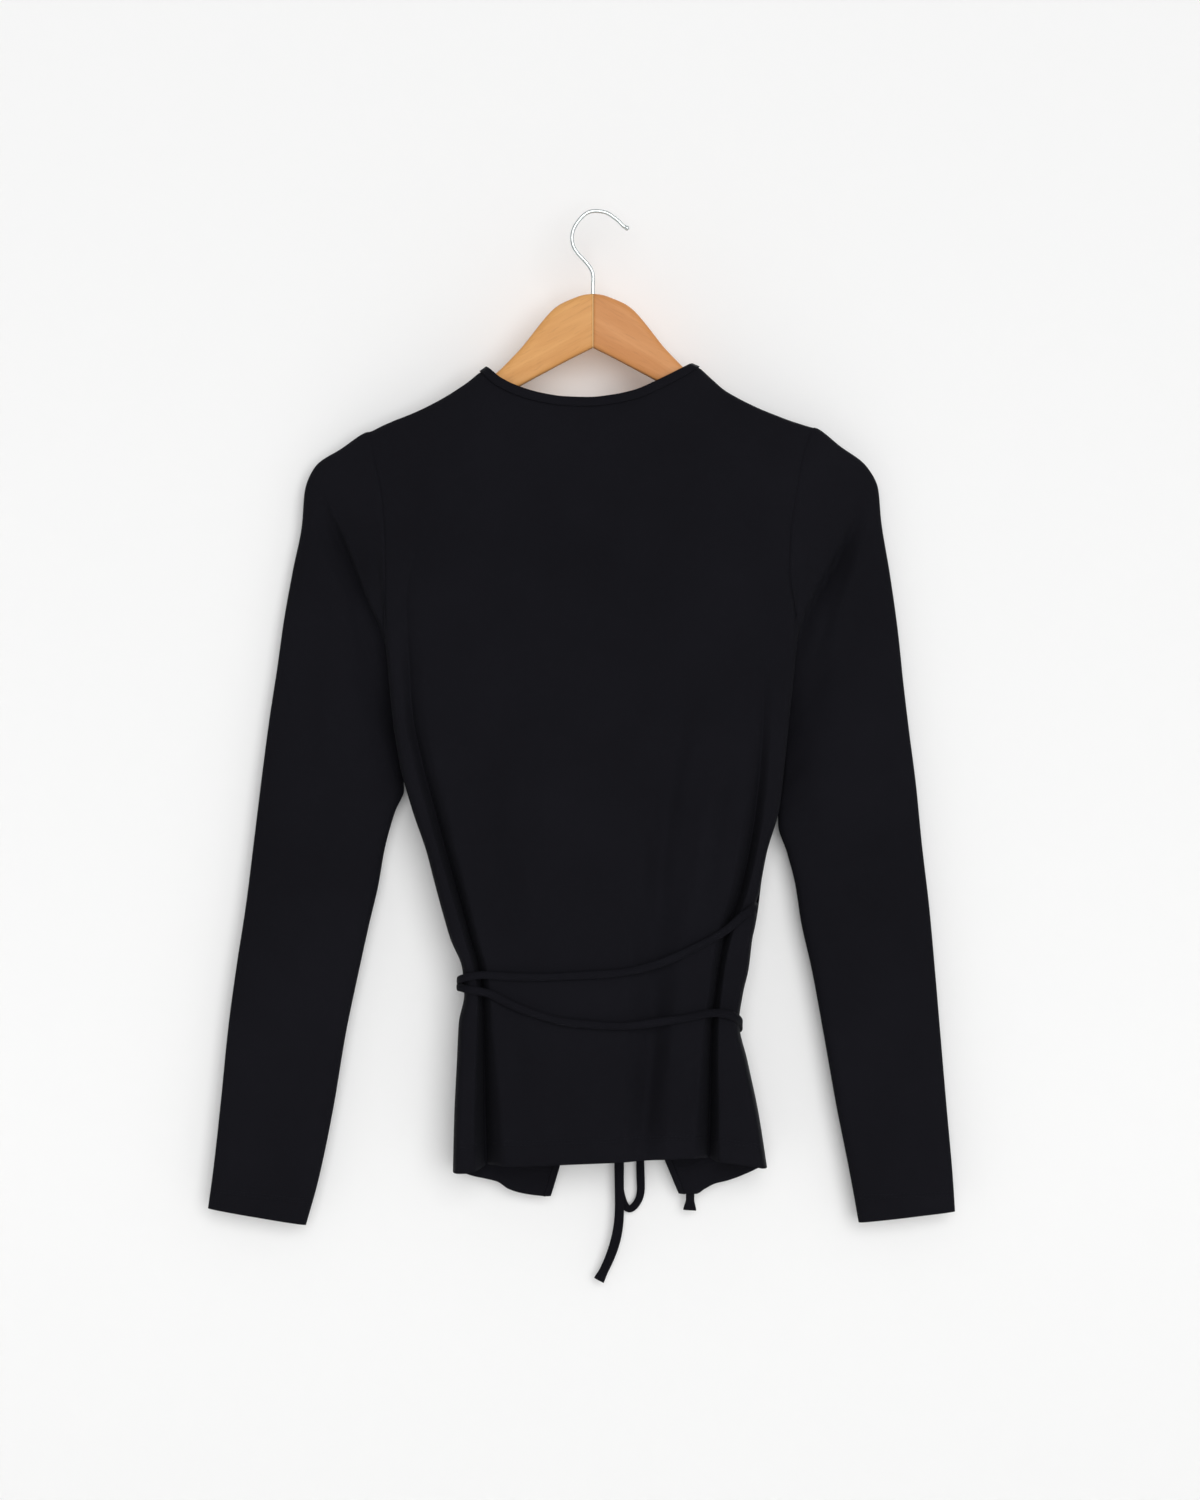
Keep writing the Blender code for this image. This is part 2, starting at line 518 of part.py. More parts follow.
def back_row_columns(z):
    """x, share of the half thickness and fold depth of every column of the back, at given heights."""
    left_x, left_share = outer_columns(z, "left")
    right_x, right_share = outer_columns(z, "right", SLIT_NOTCH)
    groove_x, groove_depth = groove_columns(z, LEFT_GROOVE)
    other_x, other_depth = groove_columns(z, RIGHT_GROOVE)
    centre = [groove_x[-1] + (other_x[0] - groove_x[-1]) * (i + 1) / (BACK_CENTRE_POINTS + 1)
              for i in range(BACK_CENTRE_POINTS)]
    left_flap = [(left_x[-1] + groove_x[0]) / 2]
    right_flap = [(other_x[-1] + right_x[-1]) / 2]
    xs = left_x + left_flap + groove_x + centre + other_x + right_flap + right_x[::-1]
    zero = [np.zeros_like(z)]
    flat = [np.ones_like(z)]
    middle = len(xs) - 2 * len(left_x)
    shares = left_share + flat * middle + right_share[::-1]
    depths = zero * (len(left_x) + 1) + groove_depth + zero * BACK_CENTRE_POINTS + other_depth
    depths += zero * (len(right_x) + 1)
    return np.array(xs), np.array(shares), np.array(depths)


def inset(points, distance):
    """Move a line in the x-height plane to its right, by a distance."""
    points = np.asarray(points, dtype=float)
    along = np.gradient(points, axis=0)
    along /= np.linalg.norm(along, axis=1)[:, None]
    return points + distance * np.stack((along[:, 1], -along[:, 0]), axis=1)


def shoulder_point(neck_point, towards, distance):
    """A point of the shoulder line at a distance from the neck point."""
    x = neck_point[0] + towards * np.linspace(0.0, 2 * distance, 60)
    z = column(SHOULDER_LINE, 1, x)
    reach = np.hypot(x - neck_point[0], z - neck_point[1])
    at = np.interp(distance, reach, x)
    return at, float(column(SHOULDER_LINE, 1, at))


def back_hem_columns():
    """x of the back's columns at its hem."""
    return back_row_columns(np.array([BACK_HEM[0][1]]))[0][:, 0]


def back_top():
    """Top edge of the back: left shoulder seam, neck seam under the band, right shoulder seam."""
    seam = BAND_WIDTH + SEAM_GAP
    left = shoulder_point(LEFT_NECK_POINT, -1.0, seam)
    right = shoulder_point(RIGHT_NECK_POINT, 1.0, seam)
    neck = inset(BACK_NECK, seam)[1:-1]
    neck = np.concatenate(([left], neck, [right]))
    count = len(back_hem_columns())
    neck_columns = count - 2 * LEFT_NECK_COLUMN
    length = np.concatenate(([0.0], np.cumsum(np.linalg.norm(np.diff(neck, axis=0), axis=1))))
    corner = np.array(NECK_CORNER_STEPS)
    steps = neck_columns - 2 * len(corner) + 2
    at = np.linspace(corner[-1], length[-1] - corner[-1], steps)
    at = np.concatenate((corner[:-1], at, length[-1] - corner[-2::-1]))
    neck_x = table_curve(length, neck[:, 0], at)
    neck_z = table_curve(length, neck[:, 1], at)
    left_x = np.linspace(SHOULDER_LINE[0][0], left[0], LEFT_NECK_COLUMN + 1)[:-1]
    right_x = np.linspace(right[0], SHOULDER_LINE[-1][0], LEFT_NECK_COLUMN + 1)[1:]
    xs = np.concatenate((left_x, neck_x, right_x))
    zs = np.concatenate((column(SHOULDER_LINE, 1, left_x), neck_z, column(SHOULDER_LINE, 1, right_x)))
    return xs, zs


def back_points():
    """The back as a grid: rows from the top edge to the hem, columns from left to right."""
    top_x, top_z = back_top()
    count = len(top_x)
    outer = len(SIDE_ANGLES)
    across = np.clip((np.arange(count) - outer) / (count - 1 - 2 * outer), 0.0, 1.0)
    rows = np.outer(side_rows("left"), 1 - across) + np.outer(side_rows("right"), across)
    z = panel_heights(rows, top_z, column(BACK_HEM, 1, back_hem_columns()))
    x = np.zeros_like(z)
    open_share = np.zeros_like(z)
    depth = np.zeros_like(z)
    for k in range(count):
        xs, shares, depths = back_row_columns(z[:, k])
        lean = top_x[k] - xs[k][0]
        x[:, k] = xs[k] + lean * smooth_step((z[:, k] - BLEND_HEIGHT) / (top_z[k] - BLEND_HEIGHT))
        open_share[:, k] = shares[k]
        depth[:, k] = depths[k]
    y = body_middle(x, z) - body_half(x, z) * open_share + depth
    y += soft_folds("back", x, z, SOFT_FOLDS) * smooth_step((open_share - 0.5) * 2)
    shoulder = np.r_[0:LEFT_NECK_COLUMN + 1, count - LEFT_NECK_COLUMN - 1:count]
    y[0, shoulder] = body_middle(x[0, shoulder], z[0, shoulder]) - SHOULDER_SEAM_GAP / 2
    y[:, :outer] -= side_parting(z[:, 0], "left")
    y[:, -outer:] -= side_parting(z[:, -1], "right")[:, ::-1]
    flatten_armhole_strip(x, y, z, 0, 1, 1.0)
    flatten_armhole_strip(x, y, z, -1, -2, -1.0)
    return np.stack((x, y, z), axis=-1)


def front_points(side):
    """A front as a grid: rows from the shoulder seam to the hem, columns from the side to the edge."""
    left = side == "left"
    name = "front_" + side
    edge_table = LEFT_FRONT_EDGE if left else RIGHT_FRONT_EDGE
    hem_table = LEFT_FRONT_HEM if left else RIGHT_FRONT_HEM
    inward = 1.0 if left else -1.0
    seam = BAND_WIDTH + SEAM_GAP
    neck_point = LEFT_NECK_POINT if left else RIGHT_NECK_POINT
    corner = shoulder_point(neck_point, -inward, seam)
    tip_x = SHOULDER_LINE[0][0] if left else SHOULDER_LINE[-1][0]
    edge = np.array([(row[1], row[0]) for row in edge_table], dtype=float)
    edge = inset(edge, seam * inward)
    edge[0] = corner
    hem_corner = edge[-1][0]
    outer = len(SIDE_ANGLES)
    count = outer + FRONT_POINTS
    spread = np.linspace(0.0, 1.0, FRONT_POINTS + 1)[1:]

    def row_columns(z):
        edge_x = table_curve(edge[:, 1], edge[:, 0], z)
        xs, shares = outer_columns(z, side)
        xs += [xs[-1] + (edge_x - xs[-1]) * part for part in spread]
        shares += [np.ones_like(z)] * FRONT_POINTS
        return xs, shares

    start = np.concatenate((np.linspace(0.0, 0.25, outer), 0.25 + 0.75 * spread))
    top_x = tip_x + (corner[0] - tip_x) * start
    top_z = column(SHOULDER_LINE, 1, top_x)
    hem_columns = row_columns(np.array([hem_table[0 if left else -1][1]]))[0]
    hem_x = np.array([float(values[0]) for values in hem_columns])
    hem_x[-1] = hem_corner
    hem_z = column(hem_table, 1, hem_x)
    z = panel_heights(side_rows(side)[:, None] + np.zeros(count), top_z, hem_z)
    x = np.zeros_like(z)
    open_share = np.zeros_like(z)
    for k in range(count):
        xs, shares = row_columns(z[:, k])
        lean = top_x[k] - xs[k][0]
        x[:, k] = xs[k] + lean * smooth_step((z[:, k] - BLEND_HEIGHT) / (top_z[k] - BLEND_HEIGHT))
        open_share[:, k] = shares[k]
    y = front_surface(x, z, open_share, side)
    y -= soft_folds(name, x, z, SOFT_FOLDS) * smooth_step((open_share - 0.5) * 2)
    y[0] = body_middle(x[0], z[0]) + SHOULDER_SEAM_GAP / 2
    y[:, :outer] += side_parting(z[:, 0], side)
    flatten_armhole_strip(x, y, z, 0, 1, inward)
    return np.stack((x, y, z), axis=-1)


def front_surface(x, z, open_share, side):
    """Depth of a front's outer face, the right one lifted over the left one where they cross."""
    y = body_middle(x, z) + body_half(x, z) * open_share
    if side == "right":
        y = y + OVERLAP_LIFT * smooth_step((OVERLAP_FROM - x) / (OVERLAP_FROM - OVERLAP_FULL)) \
            * smooth_step((-200.0 - z) / 150.0)
    return y


def sleeve_points(side, armhole):
    """A sleeve as rings from the armhole to the cuff, each a flattened loop between two lines."""
    table = np.array(LEFT_SLEEVE if side == "left" else RIGHT_SLEEVE)
    outward = -1.0 if side == "left" else 1.0
    angles = np.radians(ARMHOLE_ANGLES + [360 - angle for angle in ARMHOLE_ANGLES[-2:0:-1]])
    outer = table[:, 0:3]
    inner = table[:, 3:6]
    middle = (outer + inner) / 2
    reach = (outer - inner) / 2
    cos = np.cos(angles)[None, :]
    sin = np.sin(angles)[None, :]
    x = middle[:, 0:1] + reach[:, 0:1] * cos
    z = middle[:, 1:2] + reach[:, 1:2] * cos
    bulge = table[:, 6:7] * np.abs(sin) ** table[:, 7:8]
    y = middle[:, 2:3] + reach[:, 2:3] * cos - np.sign(sin) * bulge
    points = np.stack((x, y, z), axis=-1)
    for i, fade in enumerate(ARMHOLE_FADE):
        points[i] += (armhole - points[0]) * fade if i else 0.0
    under = smooth_step((-cos[0] - 0.6) / 0.4)
    points[0] = armhole
    points[0, :, 0] += outward * (SEAM_GAP + UNDERARM_GAP * under)
    points[0, :, 2] -= UNDERARM_GAP * under
    fold = soft_folds("sleeve_" + side, points[..., 0], points[..., 2], SLEEVE_FOLDS)
    points[1:, :, 1] += (fold * sin)[1:]
    level = np.array([outward * SEAM_STRIP, 0.0, 0.0])
    onward = (points[1] - points[0]) * UNDERARM_STRIP
    strip = points[0] + level * (1 - under[:, None]) + onward * under[:, None]
    return np.concatenate((points[:1], strip[None], points[1:]))


def armhole_ring(back, front, side):
    """The armhole seam as one loop: down the back panel's edge, then up the front panel's."""
    last = len(ARMHOLE_ANGLES)
    back_edge = back[:last, 0 if side == "left" else -1]
    front_edge = front[:last, 0]
    ring = np.concatenate((back_edge, front_edge[-2:0:-1]))
    ring[0, 1] = (back_edge[0, 1] + front_edge[0, 1]) / 2
    ring[last - 1, 1] = (back_edge[-1, 1] + front_edge[-1, 1]) / 2
    return ring


def band_strip(inner, outer, from_shoulder):
    """A band's outer face as three lines, from just off the panel's edge to the band's free edge."""
    across = outer - inner
    across /= np.linalg.norm(across, axis=1)[:, None]
    gap = SEAM_GAP + SHOULDER_GAP * smooth_step(1 - from_shoulder / SHOULDER_GAP_LENGTH)
    start = inner + across * gap[:, None]
    return np.stack([start, (start + outer) / 2, outer], axis=1)


def neck_band_points(back):
    """The neck band of the back, between the panel's edge and the outer neck line."""
    inner = back[0, LEFT_NECK_COLUMN:back.shape[1] - LEFT_NECK_COLUMN]
    neck = np.array(BACK_NECK)
    length = np.concatenate(([0.0], np.cumsum(np.hypot(*np.diff(neck, axis=0).T))))
    reach = np.concatenate(([0.0], np.cumsum(np.linalg.norm(np.diff(inner[:, [0, 2]], axis=0), axis=1))))
    at = reach / reach[-1] * length[-1]
    x = table_curve(length, neck[:, 0], at)
    z = table_curve(length, neck[:, 1], at)
    y = body_middle(x, z) - body_half(x, z)
    y[[0, -1]] = body_middle(x[[0, -1]], z[[0, -1]]) - SEAM_GAP / 2
    points = band_strip(inner, np.stack((x, y, z), axis=1), np.minimum(reach, reach[-1] - reach))
    points[[0, -1], :, 1] -= SHOULDER_GAP
    return points


def front_band_points(front, side):
    """The band down a front's edge, from the shoulder seam to the hem."""
    inward = 1.0 if side == "left" else -1.0
    neck_point = LEFT_NECK_POINT if side == "left" else RIGHT_NECK_POINT
    inner = front[:, -1]
    even = np.r_[0, 3:len(inner)]
    line = inset(inner[even][:, [0, 2]], -(BAND_WIDTH + SEAM_GAP) * inward)
    line[0] = neck_point
    line[-1, 1] = inner[-1, 2]
    step = line - inner[even][:, [0, 2]]
    rows = np.arange(len(inner))
    x = inner[:, 0] + np.interp(rows, even, step[:, 0])
    z = inner[:, 2] + np.interp(rows, even, step[:, 1])
    y = front_surface(x, z, 1.0, side)
    y[0] = body_middle(x[0], z[0]) + SEAM_GAP / 2
    points = band_strip(inner, np.stack((x, y, z), axis=1), z[0] - z)
    points[0, :, 1] += SHOULDER_GAP
    return points


def grid_mesh(name, points, ring=False, flip=False):
    """Mesh of four-sided faces over a grid of points in millimetres."""
    rows, columns = points.shape[:2]
    index = np.arange(rows * columns).reshape(rows, columns)
    following = np.roll(index, -1, axis=1) if ring else index[:, 1:]
    here = index if ring else index[:, :-1]
    faces = np.stack((here[:-1], following[:-1], following[1:], here[1:]), axis=-1).reshape(-1, 4)
    if flip:
        faces = faces[:, ::-1]
    mesh = bpy.data.meshes.new(name)
    mesh.from_pydata((points.reshape(-1, 3) * MM).tolist(), [], faces.tolist())
    mesh.update()
    return mesh


def add_object(name, data, collection, material):
    """Put a mesh or a curve in the scene as a named object."""
    made = bpy.data.objects.new(name, data)
    data.materials.append(material)
    collection.objects.link(made)
    return made


def cloth_object(name, points, collection, material, wall=WALL, proud=0.0, ring=False, flip=False):
    """A cloth piece: an open surface, given its wall inwards and, for a band, a little outwards."""
    made = add_object(name, grid_mesh(name, points, ring, flip), collection, material)
    made.data.shade_smooth()
    shell = made.modifiers.new("wall", "SOLIDIFY")
    shell.thickness = wall * MM
    shell.offset = 2 * proud / wall - 1.0
    shell.use_even_offset = True
    return made


def arm_points(direction):
    """One half of the hanger as rounded sections, from the glue line out to the tip."""
    table = np.array(HANGER_ARM)
    angles = np.arange(ARM_SIDES) * 2 * math.pi / ARM_SIDES + math.pi / ARM_SIDES
    cos = np.sign(np.cos(angles)) * np.abs(np.cos(angles)) ** WOOD_ROUNDING
    sin = np.sign(np.sin(angles)) * np.abs(np.sin(angles)) ** WOOD_ROUNDING
    distance = table[:, 0:1]
    middle = (table[:, 1:2] + table[:, 2:3]) / 2
    half_height = (table[:, 1:2] - table[:, 2:3]) / 2
    half_width = WOOD_HALF + (TIP_HALF - WOOD_HALF) * (distance / ARM_REACH) ** 2
    half_width[-1] *= 0.6
    x = direction * distance + np.zeros_like(cos)
    y = sweep(distance) + half_width * cos
    z = middle + half_height * sin
    return np.stack((x, y, z), axis=-1)


def arm_object(name, direction, cutter, collection, material):
    """A hanger half, closed at both ends and bored for the hook's stem."""
    points = arm_points(direction)
    mesh = grid_mesh(name, points, ring=True, flip=direction > 0)
    shape = bmesh.new()
    shape.from_mesh(mesh)
    bmesh.ops.holes_fill(shape, edges=shape.edges, sides=ARM_SIDES)
    bmesh.ops.recalc_face_normals(shape, faces=shape.faces)
    shape.to_mesh(mesh)
    shape.free()
    made = add_object(name, mesh, collection, material)
    made.data.shade_smooth()
    cut = made.modifiers.new("stem hole", "BOOLEAN")
    cut.operation = "DIFFERENCE"
    cut.object = cutter
    return made


def stem_cutter(collection):
    """The bore of the hook's stem, down between the two halves."""
    top = HANGER_ARM[0][1] + 10.0
    bpy.ops.mesh.primitive_cylinder_add(
        vertices=16, radius=(WIRE_RADIUS + WIRE_CLEARANCE) * MM, depth=(top - STEM_BOTTOM) * MM,
        location=(0.0, 0.0, (top + STEM_BOTTOM) / 2 * MM))
    cutter = bpy.context.object
    cutter.name = "stem_bore"
    for other in list(cutter.users_collection):
        other.objects.unlink(cutter)
    collection.objects.link(cutter)
    cutter.hide_render = True
    cutter.display_type = "WIRE"
    return cutter


def tube_object(name, points, radius, collection, material):
    """A tube with closed ends along points in millimetres."""
    curve = bpy.data.curves.new(name, "CURVE")
    curve.dimensions = "3D"
    curve.bevel_depth = radius * MM
    curve.bevel_resolution = 2
    curve.use_fill_caps = True
    line = curve.splines.new("POLY")
    line.points.add(len(points) - 1)
    coordinates = np.ones((len(points), 4))
    coordinates[:, :3] = np.asarray(points) * MM
    line.points.foreach_set("co", coordinates.ravel())
    return add_object(name, curve, collection, material)


def knot_object(collection, material):
    """The knot of the bow: a rounded solid."""
    bpy.ops.mesh.primitive_uv_sphere_add(segments=16, ring_count=8, radius=1.0)
    made = bpy.context.object
    made.name = "bow_knot"
    shape = Matrix.Translation(Vector(KNOT_CENTRE) * MM) @ Matrix.Diagonal(
        (*(Vector(KNOT_HALF_SIZE) * MM), 1.0))
    made.data.transform(shape)
    made.data.shade_smooth()
    made.data.materials.append(material)
    for other in list(made.users_collection):
        other.objects.unlink(made)
    collection.objects.link(made)


def build():
    """Make every piece of the blouse and its hanger."""
    clear_scene()
    parts = bpy.data.collections.new("wrap_blouse")
    cutters = bpy.data.collections.new("cutters")
    bpy.context.scene.collection.children.link(parts)
    bpy.context.scene.collection.children.link(cutters)
    finish = {name: make_material(name) for name in COLOURS}
    jersey = finish["jersey"]

    back = back_points()
    fronts = {side: front_points(side) for side in ("left", "right")}
    cloth_object("back", back, parts, jersey, flip=True)
    for side, points in fronts.items():
        cloth_object("front_" + side, points, parts, jersey, flip=side == "right")
        ring = armhole_ring(back, points, side)
        cloth_object("sleeve_" + side, sleeve_points(side, ring), parts, jersey, ring=True,
                     flip=side == "left")
        cloth_object("front_band_" + side, front_band_points(points, side), parts, jersey,
                     wall=BAND_WALL, proud=BAND_PROUD, flip=side == "right")
    cloth_object("neck_band", neck_band_points(back), parts, jersey, wall=BAND_WALL,
                 proud=BAND_PROUD)

    tube_object("tie_left", smooth_route(TIE_LEFT, TIE_SPACING), TIE_RADIUS, parts, jersey)
    tube_object("tie_right", smooth_route(TIE_RIGHT, TIE_SPACING), TIE_RADIUS, parts, jersey)
    loops = {
        "bow_loop_long": BOW_LOOP_LONG, "bow_loop_short": BOW_LOOP_SHORT,
        "tie_end_long": TIE_END_LONG, "tie_end_short": TIE_END_SHORT,
    }
    for name, route in loops.items():
        tube_object(name, smooth_route(route, LOOP_SPACING), TIE_RADIUS, parts, jersey)
    knot_object(parts, jersey)

    cutter = stem_cutter(cutters)
    arm_object("hanger_left", -1.0, cutter, parts, finish["pale_wood"])
    arm_object("hanger_right", 1.0, cutter, parts, finish["brown_wood"])
    wire = np.array([(x, 0.0, z) for x, z in HOOK_ROUTE])
    tube_object("hook", smooth_route(wire, WIRE_SPACING), WIRE_RADIUS, parts, finish["bright_wire"])


build()
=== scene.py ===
"""Looks of the wrap blouse on its wooden hanger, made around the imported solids.

Each cloth piece is a surface worked out on a grid from tables in millimetres, refined, creased and
given a thin wall. Ties, wood and wire are sections carried along paths. +X is the wearer's right,
+Y the wearer's front, +Z up, and the origin is the inner top of the hook.
"""

import math

import bmesh
import bpy
import numpy as np
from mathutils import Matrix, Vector


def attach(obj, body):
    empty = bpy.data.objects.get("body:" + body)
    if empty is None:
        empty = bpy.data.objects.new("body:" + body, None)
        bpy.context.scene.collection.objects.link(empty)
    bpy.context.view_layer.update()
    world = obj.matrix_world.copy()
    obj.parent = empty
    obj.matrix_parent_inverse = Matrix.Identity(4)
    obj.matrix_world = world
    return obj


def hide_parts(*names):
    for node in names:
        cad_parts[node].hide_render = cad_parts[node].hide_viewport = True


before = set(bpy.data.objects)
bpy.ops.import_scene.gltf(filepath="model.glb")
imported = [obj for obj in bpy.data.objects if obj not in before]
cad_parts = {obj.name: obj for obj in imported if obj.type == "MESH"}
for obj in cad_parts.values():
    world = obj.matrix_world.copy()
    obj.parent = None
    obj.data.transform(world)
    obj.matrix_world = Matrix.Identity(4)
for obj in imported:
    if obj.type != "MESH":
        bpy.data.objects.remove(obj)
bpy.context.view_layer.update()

MM = 0.001

# At a seam two pieces run a little into each other, so that no light comes through
SEAM_LAP = 0.2
BAND_WIDTH = 6.0

# Hanger: the arms sweep forward from the centre, and the cloth over them follows
ARM_REACH = 222.0
ARM_SWEEP = 38.0
SWEEP_POWER = 1.6
ARM_SPACING = 5.0
WOOD_HALF = 6.0
TIP_HALF = 4.4
TIP_END_SHARE = 0.6
WOOD_ROUNDING = 0.42
WOOD_SIDES = 40
WOOD_ROW_STEP = 2.6
WOOD_COLUMN_STEP = 1.4
WIRE_RADIUS = 1.58
WIRE_SIDES = 20
# The wire's free end swells by a share of the radius, at a distance from the end, over a length
TIP_SWELL = 0.35
TIP_SWELL_AT = 1.6
TIP_SWELL_LENGTH = 1.3

# Shoulder line of the blouse, over the hanger. Between the neck points it has no cloth.
# columns: x, height
SHOULDER_LINE = [
    (-176.6, -168.7), (-158.7, -161.2), (-140.5, -154.4), (-125.5, -147.5), (-113.6, -141.1),
    (-101.0, -133.2), (-89.2, -124.7), (-82.9, -120.1), (77.1, -117.8), (90.8, -127.1),
    (102.6, -137.0), (117.6, -145.3), (132.6, -152.1), (147.7, -157.7), (164.3, -163.4),
    (173.9, -165.4),
]
LEFT_NECK_POINT = (-82.9, -120.1)
RIGHT_NECK_POINT = (77.1, -117.8)

# Outer edge of the neck band across the back
# columns: x, height
BACK_NECK = [
    (-82.9, -120.1), (-70.1, -130.6), (-56.8, -136.7), (-43.5, -140.8), (-31.1, -143.6),
    (-17.8, -144.9), (-4.6, -145.3), (7.8, -144.5), (21.0, -142.1), (34.3, -138.8),
    (46.8, -133.2), (60.0, -126.7), (77.1, -117.8),
]

# Armhole seams, from the shoulder tip (share 0) to the underarm (share 1)
LEFT_SHOULDER_TIP = -168.7
RIGHT_SHOULDER_TIP = -165.4
LEFT_UNDERARM = -328.6
RIGHT_UNDERARM = -332.6
# columns: share of the armhole's height, left x, right x
ARMHOLES = [
    (0.00, -176.6, 173.9), (0.10, -173.8, 166.0), (0.20, -169.5, 162.7), (0.35, -165.2, 158.4),
    (0.50, -163.2, 154.8), (0.65, -162.6, 153.6), (0.80, -162.8, 156.0), (0.90, -163.0, 159.3),
    (1.00, -163.3, 160.1),
]

# Side seams of the body. The ties draw the waist in near -600.
# columns: height, left x, right x
SIDES = [
    (-330, -163.2, 160.2), (-355, -161.1, 158.2), (-380, -158.9, 155.4), (-411, -154.5, 152.2),
    (-443, -149.3, 148.9), (-470, -140.2, 145.1), (-497, -130.9, 136.8), (-521, -124.6, 132.1),
    (-544, -118.4, 129.4), (-568, -111.3, 124.7), (-583, -105.5, 122.8), (-597, -100.6, 121.0),
    (-608, -100.6, 118.0), (-621, -104.0, 115.0), (-634, -105.2, 114.5), (-662, -106.6, 121.0),
    (-709, -108.9, 130.9), (-735, -110.1, 135.8), (-750, -109.7, 136.6),
]

# How the flat body lies in depth: its middle, half its thickness, and how much of the hanger's
# sweep it keeps
# columns: height, middle, half thickness, sweep share
DEPTHS = [
    (-118, 0.0, 13.0, 1.00), (-165, 0.0, 13.0, 1.00), (-270, 2.0, 12.5, 0.78),
    (-330, 3.5, 12.5, 0.65), (-395, 5.0, 13.0, 0.50), (-445, 7.0, 14.0, 0.42),
    (-497, 8.0, 15.0, 0.35), (-600, 10.0, 18.0, 0.25), (-662, 11.0, 20.0, 0.22),
    (-775, 12.0, 23.0, 0.20),
]
RIDGE_DROP = 80.0
RIDGE_POWER = 0.25
SIDE_ROUND = 5.5
SEAM_STRIP = 0.6

# The two long folds that the ties gather in the back
# columns: height, x, depth, half width
LEFT_GROOVE = [
    (-250, -143.0, 0.0, 7.0), (-302, -146.1, 2.0, 7.0), (-349, -143.8, 4.5, 7.0),
    (-396, -140.7, 8.0, 7.0), (-442, -130.0, 12.0, 7.0), (-489, -117.4, 16.0, 6.0),
    (-528, -106.5, 19.0, 5.2), (-567, -95.6, 20.0, 4.6), (-606, -86.3, 20.0, 4.2),
    (-644, -85.5, 25.0, 5.6), (-691, -84.9, 30.0, 8.0), (-748, -83.4, 31.0, 10.0),
]
RIGHT_GROOVE = [
    (-250, 128.0, 0.0, 7.0), (-333, 133.0, 0.0, 7.0), (-380, 133.0, 2.5, 7.0),
    (-434, 130.5, 7.0, 7.0), (-489, 123.6, 13.0, 6.4), (-528, 115.4, 17.0, 5.8),
    (-574, 101.2, 19.0, 4.8), (-613, 95.7, 20.0, 4.2), (-644, 92.6, 24.0, 5.2),
    (-691, 91.8, 29.0, 6.8), (-745, 90.6, 30.0, 8.5),
]
# Points across a long fold, from its crisp outer edge to its soft inner one
# columns: share of the half width, share of the depth when shallow, share when deep
GROOVE_SECTION = [
    (-1.00, 0.00, 0.00), (-0.62, 0.30, 0.26), (-0.32, 0.66, 0.66), (-0.02, 1.00, 1.00),
    (0.36, 0.66, 0.60), (0.90, 0.26, 0.22), (1.60, 0.00, 0.00),
]
DEEP_FOLD = 14.0

# Soft folds of the body panels. A fold runs straight between its two ends.
# columns: panel, x and height of its top, x and height of its bottom, width, depth (minus stands out)
SOFT_FOLDS = [
    ("back", 68.0, -410.0, 50.0, -590.0, 9.0, 9.5),
    ("back", 50.0, -600.0, 36.0, -745.0, 8.5, 10.5),
    ("back", 108.0, -410.0, 88.0, -545.0, 7.0, 8.5),
    ("back", -98.0, -430.0, -74.0, -560.0, 11.0, 5.5),
    ("back", 20.0, -620.0, 14.0, -745.0, 9.0, 2.0),
    ("back", -66.0, -350.0, -61.0, -470.0, 20.0, 1.2),
    ("back", -40.0, -620.0, -34.0, -745.0, 22.0, -2.2),
    ("front_left", -100.0, -300.0, -82.0, -600.0, 15.0, 4.0),
    ("front_left", -80.0, -600.0, -72.0, -760.0, 11.0, 7.0),
    ("front_left", -64.0, -420.0, -36.0, -600.0, 14.0, 2.5),
    ("front_right", 104.0, -300.0, 92.0, -600.0, 15.0, 4.0),
    ("front_right", 90.0, -600.0, 86.0, -760.0, 10.0, 7.5),
    ("front_right", 84.0, -330.0, 64.0, -520.0, 11.0, 1.6),
]

# Hems. The back's hem is level, and the fronts dip to their edges.
# columns: x, height
BACK_HEM = [
    (-109.7, -748.8), (-99.7, -748.6), (-90.4, -747.0), (-82.0, -744.0), (-74.6, -742.6),
    (-68.3, -743.2), (-31.8, -741.8), (21.0, -739.9), (56.8, -737.6), (81.7, -737.0),
    (90.8, -739.0), (98.9, -739.8), (114.4, -741.9), (136.6, -745.4),
]
LEFT_FRONT_HEM = [
    (-109.7, -749.2), (-96.9, -754.5), (-82.9, -757.3), (-75.8, -758.9), (-70.2, -762.8),
    (-61.6, -766.9), (-49.8, -769.4), (-33.2, -771.7),
]
RIGHT_FRONT_HEM = [
    (67.5, -769.4), (80.0, -768.6), (86.8, -762.5), (100.2, -759.7), (112.0, -756.4),
    (123.6, -751.9), (136.6, -745.8),
]

# Outer edges of the front bands: a wrap neckline to the waist, then away to the hem
# columns: height, x
LEFT_FRONT_EDGE = [
    (-120.1, -82.9), (-200, -60.0), (-300, -31.5), (-400, -2.0), (-500, 28.5), (-560, 46.0),
    (-604, 54.0), (-640, 46.0), (-680, 21.0), (-715, -12.0), (-742, -31.0), (-772, -33.2),
]
RIGHT_FRONT_EDGE = [
    (-117.8, 77.1), (-200, 62.5), (-300, 45.0), (-400, 27.5), (-500, 11.0), (-560, 1.5),
    (-604, -5.0), (-640, 1.0), (-680, 20.0), (-715, 43.0), (-742, 58.0), (-770, 67.5),
]
